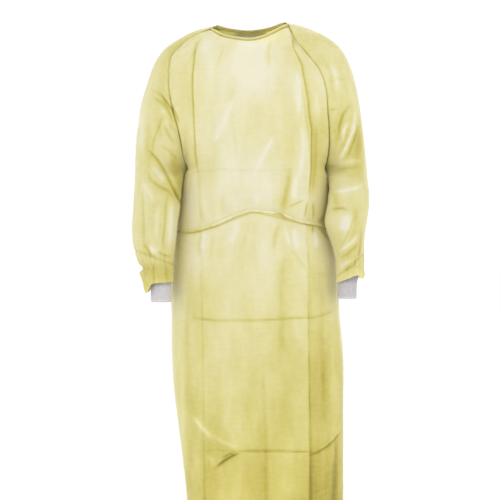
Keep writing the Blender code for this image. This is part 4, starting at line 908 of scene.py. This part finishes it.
# Beside the neck, past 66 mm from the middle, the lower edge reaches this much further down over the
# sleeve, so that no slit shows there.
BINDING_OVERLAP = 0.0045
BINDING_SIDE = 0.066
BINDING_EASE = 0.012
BINDING_THICKNESS = 0.0009
points = finer(cloth_rows("neck_binding"), BINDING_STEP)
normals = outward(points)
up = np.linspace(0, 1, points.shape[0])[:, None]
beside = smooth((np.abs(points[..., 0]) - BINDING_SIDE) / BINDING_EASE)
beside = beside * smooth((points[..., 1] + BINDING_EASE) / BINDING_EASE)
points[..., 2] -= BINDING_OVERLAP * (1 - up) * beside
run = run_along(points, 1)
groove = np.exp(-(((up - 0.24) / 0.08) ** 2))
stitched = smooth(2.2 * np.abs(np.sin(run * math.pi / STITCH_PITCH)) - 0.4)
waves = rumple(np.stack([run, 0 * run + 7 * up], -1), (5, 9), 41)
lift = 0.7 * np.sin(np.clip(up, 0, 1) * math.pi) ** 0.6 - 0.55 * groove * stitched + 0.25 * waves
# Painted shade along the lower edge and in the stitched groove, and a painted highlight over the upper half.
tone = 0.52 + 0.30 * groove * stitched + 0.10 * waves + 0.40 * np.exp(-up / 0.07)
tone = tone - 0.12 * smooth((up - 0.5) / 0.3)
laid = points + normals * lift[..., None] / 1000
neck_binding = lay_cloth(
    "neck_binding_strip", laid, tone, "neck_binding", thickness=BINDING_THICKNESS
)


# Waist tie: a narrow tape folded lengthwise out of the same cloth, caught at the side seams and drawn
# round to the back. It draws the body in, and turns over once on itself in front.
TIE_STEP = 0.0012
TIE_TURN = (0.0500, 0.0840)
TAPE_THICKNESS = 0.0004
points = finer(cloth_rows("waist_tie", tube=True), TIE_STEP)
normals = outward(points)
up = np.linspace(0, 1, points.shape[0])[:, None]
middle = points.mean(axis=0, keepdims=True)
run = run_along(points, 1)
waves = rumple(np.stack([run, 0 * run + 9 * up], -1), (7, 14), 43)
narrow = 1 - 0.14 * smooth(0.5 + 0.8 * rumple(np.stack([run, 0 * run], -1), (34, 34), 44))
fold_line = np.exp(-(((up - 0.42) / 0.10) ** 2))
lift = 0.75 * np.sin(up * math.pi) ** 0.5 - 0.45 * fold_line + 0.22 * waves
shape = middle + (points - middle) * narrow[..., None] + normals * lift[..., None] / 1000
in_front = points[..., 1] < 0
angle = 2 * math.pi * smooth((points[..., 0] - TIE_TURN[0]) / (TIE_TURN[1] - TIE_TURN[0])) * in_front
width = np.linalg.norm(shape - middle, axis=-1) * np.sign(up - 0.5)
turned = (
    middle
    + (shape - middle) * np.cos(angle)[..., None]
    + normals * (width * np.sin(angle) + 0.0042 * np.abs(np.sin(angle)))[..., None]
)
# Painted shade along the lower edge, in the middle fold and where the tape turns over, and a painted
# highlight on its upper part. The yellow is also deeper where the tape runs lowest.
tone = 0.12 + 0.50 * fold_line + 0.10 * waves + 0.55 * np.exp(-up / 0.10) - 0.10 * smooth((up - 0.6) / 0.3)
tone += 0.35 * np.abs(np.sin(angle)) + 0.25 * smooth((-points[..., 2] - 0.47) / 0.03)
waist_tie = lay_cloth("waist_tie_tape", turned, tone, "waist_tie", thickness=TAPE_THICKNESS)


# Knots and free ends: the waist tape and the neck binding are each tied once at the centre back, and
# their ends hang down the outer back panel. The ends are cut straight and left raw.
KNOT_TURNS = 3
TAPE_HALF = (0.0021, 0.0011)


def knot(name, node):
    """A tight overhand knot of folded tape, three lobes drawn up within the CAD knot's box."""
    low, high = (np.array(corner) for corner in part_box(node))
    t = np.linspace(0, 2 * math.pi, 145)
    line = np.stack(
        [np.sin(t) + 2 * np.sin(2 * t), -np.sin(KNOT_TURNS * t), np.cos(t) - 2 * np.cos(2 * t)], axis=-1
    )
    reach = (high - low) / 2 - np.array([0.0016, 0.0014, 0.0016])
    line = (low + high) / 2 + line / np.abs(line).max(axis=0) * reach
    ahead = unit(np.roll(line[:-1], -1, axis=0) - np.roll(line[:-1], 1, axis=0))
    ahead = np.concatenate([ahead, ahead[:1]])
    side = unit(np.cross(ahead, (0.0, 1.0, 0.0)))
    turn = np.linspace(0, 2 * math.pi, 17)[:, None, None]
    crease = 1 - 0.16 * np.cos(2 * turn) + 0.05 * np.sin(9 * t)[None, :, None]
    points = (
        line
        + side * np.cos(turn) * TAPE_HALF[0] * crease
        + np.cross(side, ahead) * np.sin(turn) * TAPE_HALF[1] * crease
    )
    # Painted shade on the side of the tape that faces the panel.
    tone = 0.35 + 0.35 * (points[..., 1] < line[None, :, 1]) + 0 * points[..., 0]
    piece = lay_cloth(name, points, tone, node, thickness=0)
    bm = bmesh.new()
    bm.from_mesh(piece.data)
    bmesh.ops.recalc_face_normals(bm, faces=bm.faces)
    bm.to_mesh(piece.data)
    bm.free()
    return piece


waist_knot = knot("waist_knot_tape", "waist_knot")
neck_knot = knot("neck_knot_tape", "neck_knot")

# The CAD ends start a little below their knots. Here each one hangs 3 mm clear of the panel, and its
# tape runs on from its top row, narrowing, up to the middle of its knot.
END_NARROWS = 0.55
END_CLEAR = 0.003
END_STEP = 0.0014
for seed, node in enumerate(
    ("waist_tie_end_right", "waist_tie_end_left", "neck_tie_end_right", "neck_tie_end_left")
):
    points = finer(cloth_rows(node), END_STEP)
    points[..., 1] += END_CLEAR
    top = points[-1]
    middle = (top[0] + top[-1]) / 2
    rise = np.array(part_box(node.split("_")[0] + "_knot")).mean(axis=0) - middle
    way = np.linspace(0, 1, 2 + int(np.linalg.norm(rise) / END_STEP))[1:, None, None]
    points = np.concatenate([points, middle + rise * way + (top - middle) * (1 - END_NARROWS * smooth(way))])
    normals = outward(points)
    width = np.linspace(0, 1, points.shape[1])[None]
    drop = np.linspace(1, 0, points.shape[0])[:, None]
    waves = rumple(np.stack([drop * 60 + 0 * width, width * 3 + 0 * drop], -1), (7, 2), 51 + seed)
    fold_line = np.exp(-(((width - 0.5) / 0.10) ** 2))
    lift = 0.6 * np.sin(width * math.pi) ** 0.5 - 0.4 * fold_line + 0.4 * waves
    lift += 1.2 * np.sin(drop * 9 + seed) * smooth(drop / 0.25)
    # Painted shade along the tape's middle fold.
    tone = 0.34 + 0.35 * fold_line + 0.12 * waves
    laid = points + normals * lift[..., None] / 1000
    end = lay_cloth(f"{node}_tape", laid, tone, node, thickness=TAPE_THICKNESS)


# Floor and light: a wide pale floor under an even white sky, two soft lights beside the camera, a
# weak one at each side and one behind.
FLOOR_Z = -1.50
FLOOR_HALF = 60.0
bm = bmesh.new()
bmesh.ops.create_grid(bm, x_segments=1, y_segments=1, size=FLOOR_HALF)
bmesh.ops.translate(bm, verts=bm.verts[:], vec=(0, 0, FLOOR_Z))
mesh = bpy.data.meshes.new("floor")
bm.to_mesh(mesh)
bm.free()
floor = bpy.data.objects.new("floor", mesh)
scene.collection.objects.link(floor)
paper, _ = new_finish("white_floor_paper", {"Base Color": linear("FEFEFE"), "Roughness": 0.9})
mesh.materials.append(paper)

LIGHT_AIM = Vector((0.0, 0.0, -0.5))
LIGHTS = (
    ("key light", (-1.0, -3.8, 1.4), 2.2, 13.0),
    ("fill light", (1.0, -3.8, 0.2), 2.2, 11.0),
    ("left strip light", (-3.0, -1.8, 0.0), 1.8, 6.0),
    ("right strip light", (3.0, -1.8, 0.0), 1.8, 8.0),
    ("back light", (0.6, 4.0, 2.8), 2.2, 16.0),
)
for name, place, size, power in LIGHTS:
    lamp = bpy.data.lights.new(name, "AREA")
    lamp.shape = "DISK"
    lamp.size = size
    lamp.energy = power
    lamp_object = bpy.data.objects.new(name, lamp)
    lamp_object.location = place
    lamp_object.rotation_euler = (LIGHT_AIM - Vector(place)).to_track_quat("-Z", "Y").to_euler()
    scene.collection.objects.link(lamp_object)
world = bpy.data.worlds.new("studio")
world.use_nodes = True
world.node_tree.nodes["Background"].inputs["Color"].default_value = (1.0, 1.0, 1.0, 1.0)
world.node_tree.nodes["Background"].inputs["Strength"].default_value = 1.02
scene.world = world
